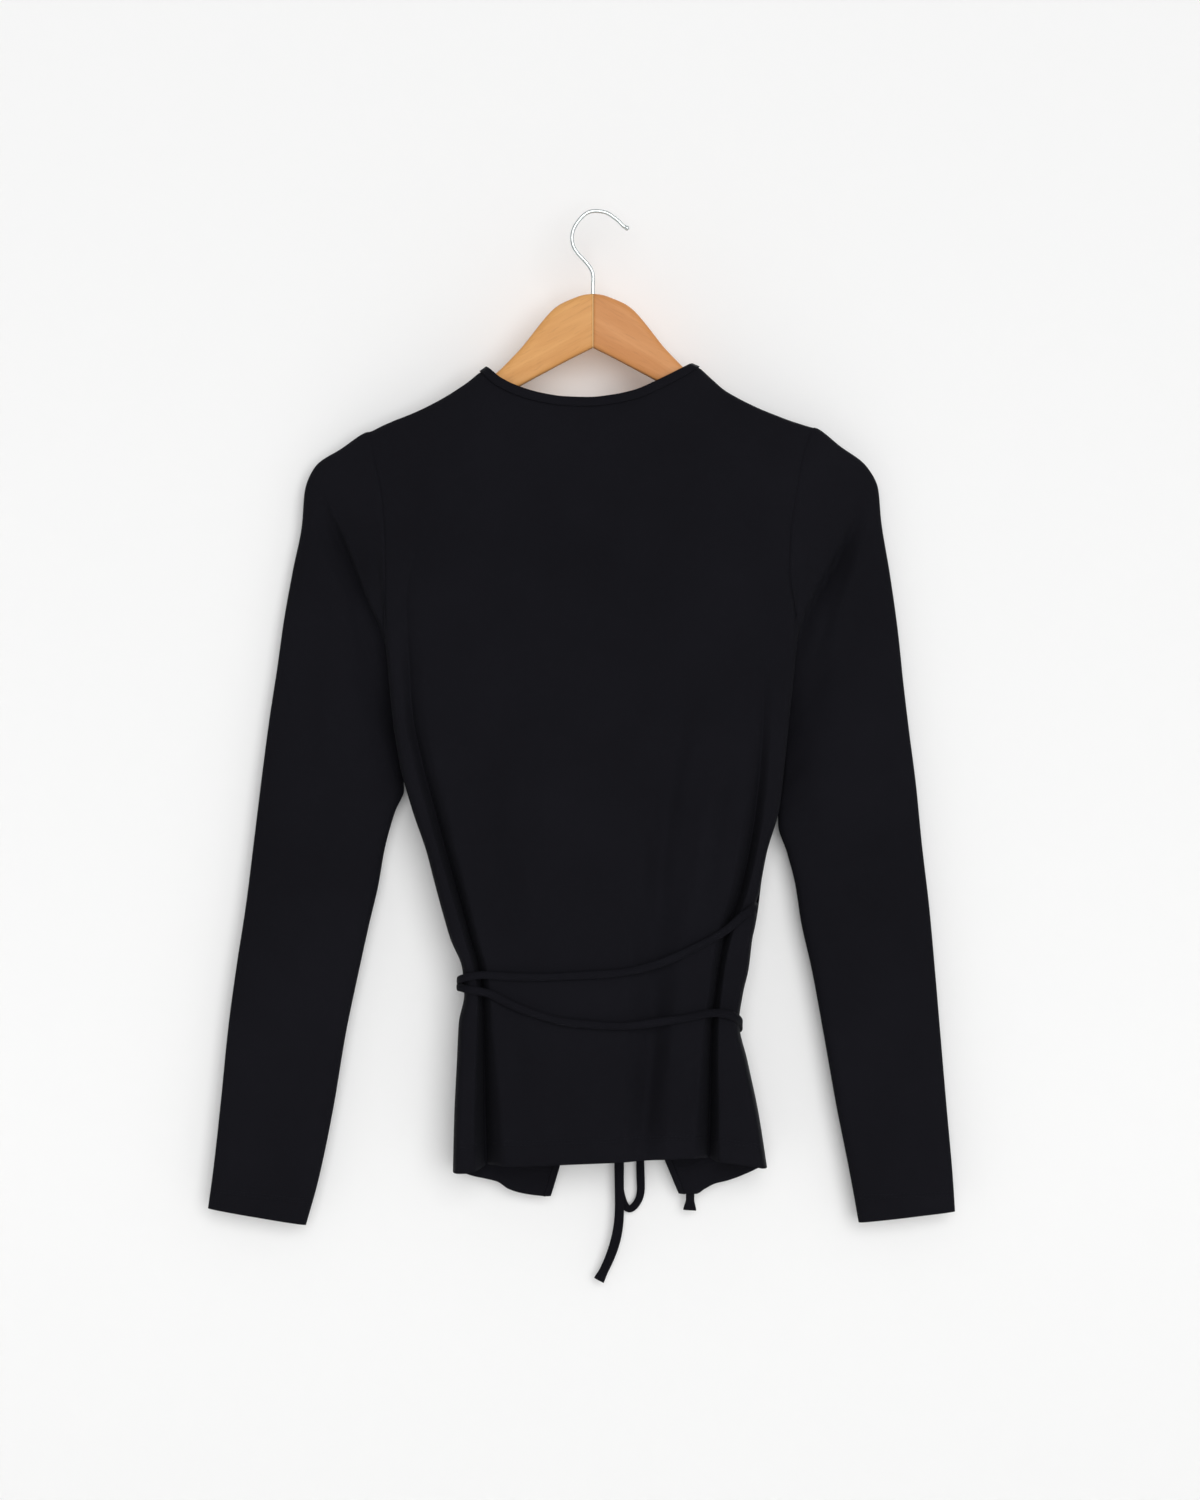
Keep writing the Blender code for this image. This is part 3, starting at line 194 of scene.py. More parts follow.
# The right front lies over the left one
OVERLAP_LIFT = 3.4
OVERLAP_FROM = 76.0
OVERLAP_FULL = 58.0
OVERLAP_TOP = -200.0
OVERLAP_TOP_BLEND = 150.0

# The slit in the right side seam that one tie comes out of
SLIT_HEIGHT = -539.6
SLIT_HALF_LENGTH = 13.0
SLIT_HALF_OPENING = 2.4
SLIT_NOTCH = 2.6

# Rows of the body panels. The first ones go round the armhole, from the shoulder seam to the
# underarm, and the others are heights of the side seam.
ARMHOLE_ANGLES = [0, 5, 13, 24, 45, 68, 90, 112, 135, 158, 180]
SIDE_ROWS = [
    -350, -388, -428, -466, -499, -521, -531, -539.6, -549, -567, -590, -610, -632, -662, -704,
]
TOP_BLEND_END = -330.0
HEM_BLEND_START = -650.0
SIDE_ANGLES = [0, 6, 30, 58, 90]
NECK_CORNER_STEPS = [0.0, 3.0, 7.0, 14.0]
BACK_CENTRE_POINTS = 7
FRONT_POINTS = 7
LEFT_NECK_COLUMN = 9
BLEND_HEIGHT = -300.0
UNDERARM_STRIP = 0.3

# Sleeve rings: the outer line runs over the shoulder and down the outside, the inner one from
# the underarm down the inside. The first ring is the armhole itself.
# columns: outer x, outer height, outer y, inner x, inner height, inner y, half thickness, power
LEFT_SLEEVE = [
    (-176.6, -168.7, 26.0, -163.3, -328.6, 18.6, 12.0, 0.50),
    (-198.7, -181.6, 32.0, -158.2, -343.0, 20.0, 11.6, 0.50),
    (-218.8, -194.6, 36.5, -156.4, -359.0, 22.5, 11.2, 0.50),
    (-227.6, -214.3, 38.0, -154.8, -374.0, 26.0, 10.8, 0.52),
    (-229.9, -241.2, 38.0, -153.8, -391.3, 30.0, 10.4, 0.56),
    (-237.0, -276.7, 38.0, -151.6, -411.0, 32.8, 10.0, 0.60),
    (-244.0, -316.2, 37.0, -150.2, -433.1, 33.5, 10.0, 0.62),
    (-249.5, -355.8, 36.0, -149.0, -450.0, 33.0, 10.0, 0.62),
    (-254.9, -391.3, 35.0, -156.1, -467.8, 32.0, 10.0, 0.62),
    (-261.1, -438.6, 34.0, -164.3, -497.7, 31.5, 9.8, 0.62),
    (-267.3, -489.9, 33.0, -169.1, -525.3, 31.0, 9.5, 0.62),
    (-273.6, -541.1, 32.0, -176.5, -556.8, 31.0, 9.2, 0.62),
    (-281.4, -592.3, 31.0, -185.1, -596.2, 30.0, 9.0, 0.62),
    (-287.6, -639.5, 30.0, -194.6, -641.8, 30.0, 8.7, 0.62),
    (-293.1, -694.6, 30.0, -204.1, -698.6, 30.0, 8.4, 0.62),
    (-299.3, -751.2, 29.0, -216.2, -757.5, 29.0, 8.2, 0.62),
    (-303.2, -779.6, 29.0, -226.0, -792.8, 29.0, 8.0, 0.62),
]
RIGHT_SLEEVE = [
    (173.9, -165.4, 26.0, 160.1, -332.6, 18.6, 12.0, 0.50),
    (195.5, -180.0, 32.0, 155.6, -347.0, 19.4, 11.6, 0.50),
    (215.5, -194.6, 36.5, 153.6, -363.7, 22.5, 11.2, 0.50),
    (225.2, -212.7, 38.0, 152.4, -379.5, 26.0, 10.8, 0.52),
    (227.5, -237.2, 38.0, 151.4, -396.8, 30.0, 10.4, 0.56),
    (234.6, -280.7, 38.0, 149.8, -417.3, 32.8, 10.0, 0.60),
    (240.8, -325.7, 37.0, 149.2, -439.4, 33.5, 10.0, 0.62),
    (244.7, -363.6, 36.0, 146.0, -462.3, 33.0, 10.0, 0.62),
    (249.3, -403.1, 35.0, 145.8, -477.5, 32.0, 10.0, 0.62),
    (254.8, -446.5, 34.0, 152.9, -500.1, 31.5, 9.8, 0.62),
    (259.4, -493.8, 33.0, 159.2, -524.5, 31.0, 9.5, 0.62),
    (264.9, -541.1, 32.0, 163.9, -554.4, 31.0, 9.2, 0.62),
    (269.5, -592.3, 31.0, 172.5, -593.0, 30.0, 9.0, 0.62),
    (273.4, -639.5, 30.0, 181.2, -640.3, 30.0, 8.7, 0.62),
    (278.1, -694.6, 30.0, 191.4, -697.8, 30.0, 8.4, 0.62),
    (283.5, -757.5, 29.0, 203.2, -757.5, 29.0, 8.2, 0.62),
    (285.1, -782.0, 29.0, 209.1, -790.8, 29.0, 8.0, 0.62),
]
ARMHOLE_FADE = [1.0, 0.62, 0.32, 0.12]

# Folds of the sleeves, from the outer cap in to the underarm
# columns: sleeve, x and height of its top, x and height of its bottom, width, depth
SLEEVE_FOLDS = [
    ("sleeve_left", -206.0, -240.0, -176.0, -298.0, 12.0, 6.0),
    ("sleeve_left", -178.0, -330.0, -168.0, -400.0, 10.0, 4.5),
    ("sleeve_left", -221.0, -330.0, -222.0, -460.0, 9.0, 1.6),
    ("sleeve_right", 206.0, -246.0, 174.0, -300.0, 12.0, 6.0),
    ("sleeve_right", 178.0, -345.0, 166.0, -430.0, 12.0, 4.5),
    ("sleeve_right", 234.0, -380.0, 228.0, -450.0, 8.0, 1.6),
]

# Hanger arm, the same on both sides of the centre
# columns: distance from the centre, top height, underside height
HANGER_ARM = [
    (0.15, -63.2, -105.3), (8.0, -64.2, -109.2), (16.0, -67.0, -113.2), (28.0, -72.8, -119.4),
    (37.5, -82.0, -124.4), (47.0, -93.8, -129.4), (56.0, -105.0, -134.3), (66.0, -115.4, -139.4),
    (76.0, -124.8, -144.4), (88.5, -132.8, -150.4), (104.0, -141.8, -157.9), (120.0, -151.4, -165.5),
    (140.0, -160.8, -174.6), (157.0, -168.0, -182.5), (175.0, -176.8, -190.7), (192.0, -186.0, -198.8),
    (206.0, -195.0, -205.8), (214.0, -201.6, -210.4), (218.6, -206.6, -212.0),
]

# Centre line of the hook's wire
# columns: x, height
HOOK_ROUTE = [
    (0.0, -84.0), (0.0, -74.0), (0.0, -64.0), (0.0, -55.0), (-0.4, -46.5), (-3.1, -41.4),
    (-7.8, -35.9), (-12.1, -31.2), (-15.6, -25.0), (-16.3, -18.8), (-15.6, -14.1), (-12.4, -7.8),
    (-7.8, -2.4), (-3.1, 0.7), (0.5, 1.5), (6.3, 1.2), (11.0, 0.0), (16.0, -3.2), (20.3, -6.6),
    (23.8, -10.2), (28.5, -12.5),
]

# The two ties: each is one line from the front edge it is sewn to as far as the knot.
# The left one goes under the right front and out through the slit. Both go round the back, over
# the left front and the right one, to the knot on the right front.
# columns: x, y, height
TIE_LEFT = [
    (58.2, 27.7, -602.5), (66.0, 25.9, -599.5), (78.0, 22.7, -592.0), (90.0, 20.2, -582.0),
    (100.4, 19.6, -570.4), (108.6, 18.6, -559.0), (116.0, 16.8, -548.2), (121.8, 14.3, -541.6),
    (125.4, 11.2, -540.0), (126.8, 5.6, -539.8), (126.0, -1.2, -541.0), (122.4, -7.4, -543.6),
    (115.2, -8.2, -549.0), (105.0, -8.4, -558.0), (91.0, -9.5, -566.6), (78.5, -10.3, -572.9),
    (60.7, -11.1, -581.3), (42.8, -11.5, -587.5), (24.9, -11.7, -591.4), (-1.5, -11.8, -593.7),
    (-37.2, -11.2, -595.4), (-73.0, -10.2, -594.5), (-87.9, -9.6, -594.0), (-98.8, -8.6, -595.8),
    (-103.8, -0.2, -598.0), (-104.6, 12.0, -599.8), (-103.8, 23.6, -600.9), (-96.4, 33.0, -600.9),
    (-80.0, 33.2, -599.6), (-55.0, 32.8, -597.4), (-30.0, 33.4, -597.2), (-14.0, 35.4, -598.6),
    (-2.0, 37.2, -601.6), (9.0, 37.6, -608.6), (16.5, 38.6, -615.4), (22.9, 40.0, -621.0),
]
TIE_RIGHT = [
    (1.0, 34.0, -615.2), (-8.4, 34.0, -616.2), (-16.0, 33.6, -616.8), (-34.0, 32.8, -615.8),
    (-58.0, 33.0, -613.4),
    (-80.0, 33.4, -610.4), (-96.6, 33.0, -607.4), (-103.8, 23.4, -605.6), (-104.9, 12.0, -604.4),
    (-103.9, 0.4, -604.0), (-98.8, -8.4, -604.9), (-83.9, -10.6, -607.4), (-64.5, -11.8, -616.2),
    (-46.7, -12.9, -623.2), (-28.7, -13.2, -628.7), (-1.5, -12.9, -632.2), (24.9, -12.6, -633.3),
    (52.1, -11.8, -630.2), (78.5, -10.6, -626.0), (96.0, -10.4, -623.3), (107.4, -9.8, -625.2),
    (113.0, -2.0, -628.8), (115.0, 7.0, -632.0), (115.4, 18.0, -636.0), (113.4, 30.4, -639.2),
    (104.6, 37.0, -640.9), (88.0, 36.6, -639.6), (70.0, 36.8, -636.0), (56.0, 37.4, -631.8),
    (47.0, 38.8, -627.8), (39.6, 39.8, -624.8),
]
# The bow that hangs from the knot: a long loop and a long end that show below the hem, and a
# short loop and a short end
# columns: x, y, height
BOW_LOOP_LONG = [
    (27.6, 43.3, -630.3), (26.0, 44.6, -645.0), (24.4, 45.6, -670.0), (22.8, 46.4, -700.0),
    (21.4, 47.0, -732.0), (20.8, 47.0, -756.0), (22.6, 47.0, -773.0), (28.8, 47.0, -782.4),
    (35.6, 47.0, -776.0), (37.8, 47.0, -762.0), (37.2, 47.0, -740.0), (36.0, 46.4, -708.0),
    (34.8, 45.6, -672.0), (34.0, 44.6, -645.0), (33.6, 43.3, -630.5),
]
TIE_END_LONG = [
    (27.3, 37.6, -630.5), (25.6, 38.0, -645.0), (22.6, 39.2, -672.0), (21.0, 39.2, -705.0),
    (20.6, 39.8, -740.0), (20.8, 40.4, -770.0), (20.4, 40.6, -791.0), (17.4, 40.8, -808.0),
    (11.6, 41.0, -824.0), (4.6, 41.0, -838.2),
]
BOW_LOOP_SHORT = [
    (37.1, 44.3, -618.4), (46.0, 46.2, -618.8), (56.0, 47.0, -628.0), (61.5, 47.0, -645.0),
    (61.0, 46.8, -661.0), (56.0, 46.4, -668.0), (51.0, 46.2, -660.0), (48.6, 46.2, -645.0),
    (45.4, 46.0, -634.6), (39.1, 45.2, -625.6),
]
TIE_END_SHORT = [
    (34.0, 37.6, -630.6), (38.4, 38.0, -644.0), (46.0, 38.8, -664.0), (57.0, 39.4, -690.0),
    (66.0, 39.8, -712.0), (73.0, 39.8, -738.0), (76.6, 39.4, -764.0), (76.4, 39.4, -782.6),
]
KNOT_CENTRE = (30.8, 40.4, -624.0)
KNOT_HALF_SIZE = (8.6, 6.2, 6.6)


def line_length(points):
    """Distance along a line of points, from 0 at its first one."""
    return np.concatenate(([0.0], np.cumsum(np.linalg.norm(np.diff(points, axis=0), axis=1))))


def grid_length(points):
    """Mean distance along the rows of a grid of points, from 0 at its first one."""
    return np.concatenate(([0.0], np.cumsum(np.linalg.norm(np.diff(points, axis=0), axis=2).mean(axis=1))))


def table_curve(across, values, at):
    """Read a table at any place: a cubic through every row that never overshoots one.

    The values may be a whole grid of points, with one row of it for each place.
    """
    order = np.argsort(across)
    x = np.asarray(across, dtype=float)[order]
    y = np.asarray(values, dtype=float)[order]
    at = np.clip(np.asarray(at, dtype=float), x[0], x[-1])
    extra = (1,) * (y.ndim - 1)
    step = np.diff(x).reshape((-1,) + extra)
    rise = np.diff(y, axis=0) / step
    slope = np.concatenate((rise[:1], np.zeros_like(y[2:]), rise[-1:]))
    same_way = rise[:-1] * rise[1:] > 0
    weight_a = 2 * step[1:] + step[:-1]
    weight_b = step[1:] + 2 * step[:-1]
    safe_a = np.where(same_way, rise[:-1], 1.0)
    safe_b = np.where(same_way, rise[1:], 1.0)
    mean = (weight_a + weight_b) / (weight_a / safe_a + weight_b / safe_b)
    slope[1:-1] = np.where(same_way, mean, 0.0)
    cell = np.clip(np.searchsorted(x, at) - 1, 0, len(x) - 2)
    t = (at - x[cell]).reshape(at.shape + extra) / step[cell]
    start = (1 + 2 * t) * (1 - t) ** 2 * y[cell] + t * (1 - t) ** 2 * step[cell] * slope[cell]
    end = t ** 2 * (3 - 2 * t) * y[cell + 1] + t ** 2 * (t - 1) * step[cell] * slope[cell + 1]
    return start + end


def column(table, index, at, key=0):
    """One column of a table, read at the key column's value."""
    return table_curve([row[key] for row in table], [row[index] for row in table], at)


def smooth_step(value):
    """0 below 0, 1 above 1, and an S between them."""
    t = np.clip(value, 0.0, 1.0)
    return t * t * (3 - 2 * t)


def smooth_route(points, spacing):
    """Points at an even spacing along a natural cubic spline through a route's own points."""
    points = np.asarray(points, dtype=float)
    knots = line_length(points)
    gaps = np.diff(knots)
    count = len(points)
    system = np.eye(count)
    right_side = np.zeros_like(points)
    slopes = np.diff(points, axis=0) / gaps[:, None]
    for i in range(1, count - 1):
        system[i, i - 1:i + 2] = (gaps[i - 1], 2 * (gaps[i - 1] + gaps[i]), gaps[i])
        right_side[i] = 6 * (slopes[i] - slopes[i - 1])
    bend = np.linalg.solve(system, right_side)
    at = np.linspace(0.0, knots[-1], max(2, int(round(knots[-1] / spacing)) + 1))
    cell = np.clip(np.searchsorted(knots, at) - 1, 0, count - 2)
    h = gaps[cell][:, None]
    a = (knots[cell + 1] - at)[:, None] / h
    b = 1 - a
    curve = a * points[cell] + b * points[cell + 1]
    return curve + ((a ** 3 - a) * bend[cell] + (b ** 3 - b) * bend[cell + 1]) * h ** 2 / 6


def sweep(x):
    """How far forward the hanger's centre line lies at a distance from its middle."""
    return ARM_SWEEP * (np.abs(x) / ARM_REACH) ** SWEEP_POWER


def body_middle(x, z):
    """Depth of the surface midway between back and front."""
    return column(DEPTHS, 1, z) + column(DEPTHS, 3, z) * sweep(x)


def body_half(x, z):
    """Half the body's thickness: it opens quickly under the shoulder line, then slowly."""
    ridge = column(SHOULDER_LINE, 1, x)
    drop = np.clip((ridge - z) / RIDGE_DROP, 0.0, 1.0)
    return column(DEPTHS, 2, z) * (1 - (1 - drop) ** 2) ** RIDGE_POWER


def armhole_share(z, tip, underarm):
    """How far down the armhole a height is, from 0 at the shoulder tip to 1 at the underarm."""
    return np.clip((tip - z) / (tip - underarm), 0.0, 1.0)


def side_x(z, side):
    """Outer line of the body: the armhole seam down to the underarm, then the side seam."""
    tip, underarm, index = side_values(side)
    in_armhole = column(ARMHOLES, index, armhole_share(z, tip, underarm))
    return np.where(z > underarm, in_armhole, column(SIDES, index, np.minimum(z, underarm)))


def side_values(side):
    """Shoulder tip, underarm and table column of a side."""
    if side == "left":
        return LEFT_SHOULDER_TIP, LEFT_UNDERARM, 1
    return RIGHT_SHOULDER_TIP, RIGHT_UNDERARM, 2


def side_opening(z, side):
    """Share of the half thickness at the outer line: open round the armhole, 0 down the side seam."""
    tip, underarm, _ = side_values(side)
    share = np.maximum(armhole_share(z, tip, underarm), 0.5)
    return (4 * share * (1 - share)) ** RIDGE_POWER


def soft_folds(name, x, z, folds):
    """Depth of a piece's soft folds: a bell across each one, fading at both of its ends."""
    total = np.zeros_like(x)
    for owner, x0, z0, x1, z1, width, depth in folds:
        if owner != name:
            continue
        length = math.hypot(x1 - x0, z1 - z0)
        along = ((x - x0) * (x1 - x0) + (z - z0) * (z1 - z0)) / length ** 2
        across = ((x - x0) * (z1 - z0) - (z - z0) * (x1 - x0)) / length
        fade = smooth_step((along + 0.25) / 0.5) * smooth_step((1.25 - along) / 0.5)
        total += depth * fade * np.exp(-(across / width) ** 2)
    return total


def side_rows(side):
    """Heights of the panel rows along a side: round the armhole, then down to the hem."""
    tip, underarm, _ = side_values(side)
    share = (1 - np.cos(np.radians(ARMHOLE_ANGLES))) / 2
    hem = BACK_HEM[0][1] if side == "left" else BACK_HEM[-1][1]
    return np.concatenate((tip - share * (tip - underarm), SIDE_ROWS, [hem]))


def panel_heights(rows, top_z, hem_z):
    """Heights of a panel's grid: the rows, led up to the top edge and down to the hem."""
    top_fade = smooth_step((rows - TOP_BLEND_END) / (rows[0] - TOP_BLEND_END))
    hem_fade = smooth_step((rows - HEM_BLEND_START) / (rows[-1] - HEM_BLEND_START))
    return rows + (top_z - rows[0]) * top_fade + (hem_z - rows[-1]) * hem_fade


def slit_bump(z, side):
    """1 at the slit for the tie, falling to 0 at both of its ends."""
    if side == "left":
        return np.zeros_like(z)
    return np.cos(np.clip((z - SLIT_HEIGHT) / SLIT_HALF_LENGTH, -1.0, 1.0) * math.pi / 2) ** 2


def side_parting(z, side):
    """How far a panel's outer columns draw back from the side seam: wide at the slit for the tie, and
    else a small overlap, which is minus.
    """
    fade = 1 - np.sin(np.radians(SIDE_ANGLES))
    below_armhole = np.arange(len(z)) >= len(ARMHOLE_ANGLES) - 1
    seam = np.where(below_armhole, -SEAM_LAP / 2, 0.0)
    return np.outer(seam, fade == 1.0) + SLIT_HALF_OPENING * np.outer(slit_bump(z, side), fade)


def outer_columns(z, side, notch=0.0):
    """x and share of the half thickness of the columns that round a side, outermost first."""
    edge = side_x(z, side)
    inward = 1.0 if side == "left" else -1.0
    base = side_opening(z, side)
    xs = []
    shares = []
    for angle in np.radians(SIDE_ANGLES):
        round_step = 1 - np.cos(angle)
        flat_step = angle / (math.pi / 2)
        step = SIDE_ROUND * (round_step + (flat_step - round_step) * base)
        xs.append(edge + inward * (step + notch * slit_bump(z, side) * (1 - round_step)))
        shares.append(base + (1 - base) * np.sin(angle))
    return xs, shares


def flatten_armhole_strip(x, y, z, edge_column, next_column, inward):
    """Lay the narrow strip along the armhole seam level, so that its wall meets the sleeve's."""
    rows = slice(0, len(ARMHOLE_ANGLES) - 1)
    x[rows, next_column] = x[rows, edge_column] + inward * SEAM_STRIP
    y[rows, next_column] = y[rows, edge_column]
    z[rows, next_column] = z[rows, edge_column]


def groove_columns(z, table, inward):
    """x and depth of the columns across one long fold, from left to right."""
    centre = column(table, 1, z)
    depth = column(table, 2, z)
    half = column(table, 3, z)
    deep = smooth_step(depth / DEEP_FOLD)
    section = GROOVE_SECTION if inward > 0 else GROOVE_SECTION[::-1]
    xs = [centre + inward * offset * half for offset, _, _ in section]
    depths = [depth * (shallow + (steep - shallow) * deep) for _, shallow, steep in section]
    return xs, depths


def back_row_columns(z):
    """x, share of the half thickness and fold depth of every column of the back, at given heights."""
    left_x, left_share = outer_columns(z, "left")
    right_x, right_share = outer_columns(z, "right", SLIT_NOTCH)
    groove_x, groove_depth = groove_columns(z, LEFT_GROOVE, 1.0)
    other_x, other_depth = groove_columns(z, RIGHT_GROOVE, -1.0)
    centre = [groove_x[-1] + (other_x[0] - groove_x[-1]) * (i + 1) / (BACK_CENTRE_POINTS + 1)
              for i in range(BACK_CENTRE_POINTS)]
    left_flap = [(left_x[-1] + groove_x[0]) / 2]
    right_flap = [(other_x[-1] + right_x[-1]) / 2]
    xs = left_x + left_flap + groove_x + centre + other_x + right_flap + right_x[::-1]
    zero = [np.zeros_like(z)]
    flat = [np.ones_like(z)]
    middle = len(xs) - 2 * len(left_x)
    shares = left_share + flat * middle + right_share[::-1]
    depths = zero * (len(left_x) + 1) + groove_depth + zero * BACK_CENTRE_POINTS + other_depth
    depths += zero * (len(right_x) + 1)
    return np.array(xs), np.array(shares), np.array(depths)


def inset(points, distance):
    """Move a line in the x-height plane to its right, by a distance."""
    points = np.asarray(points, dtype=float)
    along = np.gradient(points, axis=0)
    along /= np.linalg.norm(along, axis=1)[:, None]
    return points + distance * np.stack((along[:, 1], -along[:, 0]), axis=1)


def shoulder_point(neck_point, towards, distance):
    """A point of the shoulder line at a distance from the neck point."""
    x = neck_point[0] + towards * np.linspace(0.0, 2 * distance, 60)
    z = column(SHOULDER_LINE, 1, x)
    reach = np.hypot(x - neck_point[0], z - neck_point[1])
    at = np.interp(distance, reach, x)
    return at, float(column(SHOULDER_LINE, 1, at))


def back_hem_columns():
    """x of the back's columns at its hem."""
    return back_row_columns(np.array([BACK_HEM[0][1]]))[0][:, 0]


def back_top():
    """Top edge of the back: left shoulder seam, neck seam under the band, right shoulder seam."""
    seam = BAND_WIDTH - SEAM_LAP
    left = shoulder_point(LEFT_NECK_POINT, -1.0, seam)
    right = shoulder_point(RIGHT_NECK_POINT, 1.0, seam)
    neck = inset(BACK_NECK, seam)[1:-1]
    neck = np.concatenate(([left], neck, [right]))
    count = len(back_hem_columns())
    neck_columns = count - 2 * LEFT_NECK_COLUMN
    length = line_length(neck)
    corner = np.array(NECK_CORNER_STEPS)
    steps = neck_columns - 2 * len(corner) + 2
    at = np.linspace(corner[-1], length[-1] - corner[-1], steps)
    at = np.concatenate((corner[:-1], at, length[-1] - corner[-2::-1]))
    neck_x = table_curve(length, neck[:, 0], at)
    neck_z = table_curve(length, neck[:, 1], at)
    left_x = np.linspace(SHOULDER_LINE[0][0], left[0], LEFT_NECK_COLUMN + 1)[:-1]
    right_x = np.linspace(right[0], SHOULDER_LINE[-1][0], LEFT_NECK_COLUMN + 1)[1:]
    xs = np.concatenate((left_x, neck_x, right_x))
    zs = np.concatenate((column(SHOULDER_LINE, 1, left_x), neck_z, column(SHOULDER_LINE, 1, right_x)))
    return xs, zs


def lay_columns(z, top_x, top_z, row_columns):
    """x and the other values of every column at its own heights, with x led over to the top edge."""
    layers = np.array([[values[k] for values in row_columns(z[:, k])] for k in range(z.shape[1])])
    layers = layers.transpose(1, 2, 0)
    lean = smooth_step((z - BLEND_HEIGHT) / (top_z - BLEND_HEIGHT))
    layers[0] += (top_x - layers[0][0]) * lean
    return layers


def back_points():
    """The back as a grid: rows from the top edge to the hem, columns from left to right."""
    top_x, top_z = back_top()
    count = len(top_x)
    outer = len(SIDE_ANGLES)
    across = np.clip((np.arange(count) - outer) / (count - 1 - 2 * outer), 0.0, 1.0)
    rows = np.outer(side_rows("left"), 1 - across) + np.outer(side_rows("right"), across)
    z = panel_heights(rows, top_z, column(BACK_HEM, 1, back_hem_columns()))
    x, open_share, depth = lay_columns(z, top_x, top_z, back_row_columns)
    y = body_middle(x, z) - body_half(x, z) * open_share + depth
    y += soft_folds("back", x, z, SOFT_FOLDS) * smooth_step((open_share - 0.5) * 2)
    shoulder = np.r_[0:LEFT_NECK_COLUMN + 1, count - LEFT_NECK_COLUMN - 1:count]
    y[0, shoulder] = body_middle(x[0, shoulder], z[0, shoulder]) + SEAM_LAP / 2
    y[:, :outer] -= side_parting(z[:, 0], "left")
    y[:, -outer:] -= side_parting(z[:, -1], "right")[:, ::-1]
    flatten_armhole_strip(x, y, z, 0, 1, 1.0)
    flatten_armhole_strip(x, y, z, -1, -2, -1.0)
    return np.stack((x, y, z), axis=-1)


def front_points(side):
    """A front as a grid: rows from the shoulder seam to the hem, columns from the side to the edge."""
    left = side == "left"
    name = "front_" + side
    edge_table = LEFT_FRONT_EDGE if left else RIGHT_FRONT_EDGE
    hem_table = LEFT_FRONT_HEM if left else RIGHT_FRONT_HEM
    inward = 1.0 if left else -1.0
    seam = BAND_WIDTH - SEAM_LAP
    neck_point = LEFT_NECK_POINT if left else RIGHT_NECK_POINT
    corner = shoulder_point(neck_point, -inward, seam)
    tip_x = SHOULDER_LINE[0][0] if left else SHOULDER_LINE[-1][0]
    edge = np.array([(row[1], row[0]) for row in edge_table], dtype=float)
    edge = inset(edge, seam * inward)
    edge[0] = corner
    hem_corner = edge[-1][0]
    outer = len(SIDE_ANGLES)
    count = outer + FRONT_POINTS
    spread = np.linspace(0.0, 1.0, FRONT_POINTS + 1)[1:]

    def row_columns(z):
        edge_x = table_curve(edge[:, 1], edge[:, 0], z)
        xs, shares = outer_columns(z, side)
        xs += [xs[-1] + (edge_x - xs[-1]) * part for part in spread]
        shares += [np.ones_like(z)] * FRONT_POINTS
        return xs, shares

    start = np.concatenate((np.linspace(0.0, 0.25, outer), 0.25 + 0.75 * spread))
    top_x = tip_x + (corner[0] - tip_x) * start
    top_z = column(SHOULDER_LINE, 1, top_x)
    hem_columns = row_columns(np.array([hem_table[0 if left else -1][1]]))[0]
    hem_x = np.array([float(values[0]) for values in hem_columns])
    hem_x[-1] = hem_corner
    hem_z = column(hem_table, 1, hem_x)
    z = panel_heights(side_rows(side)[:, None] + np.zeros(count), top_z, hem_z)
    x, open_share = lay_columns(z, top_x, top_z, row_columns)
    y = front_surface(x, z, open_share, side)
    y -= soft_folds(name, x, z, SOFT_FOLDS) * smooth_step((open_share - 0.5) * 2)
    y[0] = body_middle(x[0], z[0]) - SEAM_LAP / 2
    y[:, :outer] += side_parting(z[:, 0], side)
    flatten_armhole_strip(x, y, z, 0, 1, inward)
    return np.stack((x, y, z), axis=-1)


def front_surface(x, z, open_share, side):
    """Depth of a front's outer face, the right one lifted over the left one where they cross."""
    y = body_middle(x, z) + body_half(x, z) * open_share
    if side == "right":
        y = y + OVERLAP_LIFT * smooth_step((OVERLAP_FROM - x) / (OVERLAP_FROM - OVERLAP_FULL)) \
            * smooth_step((OVERLAP_TOP - z) / OVERLAP_TOP_BLEND)
    return y


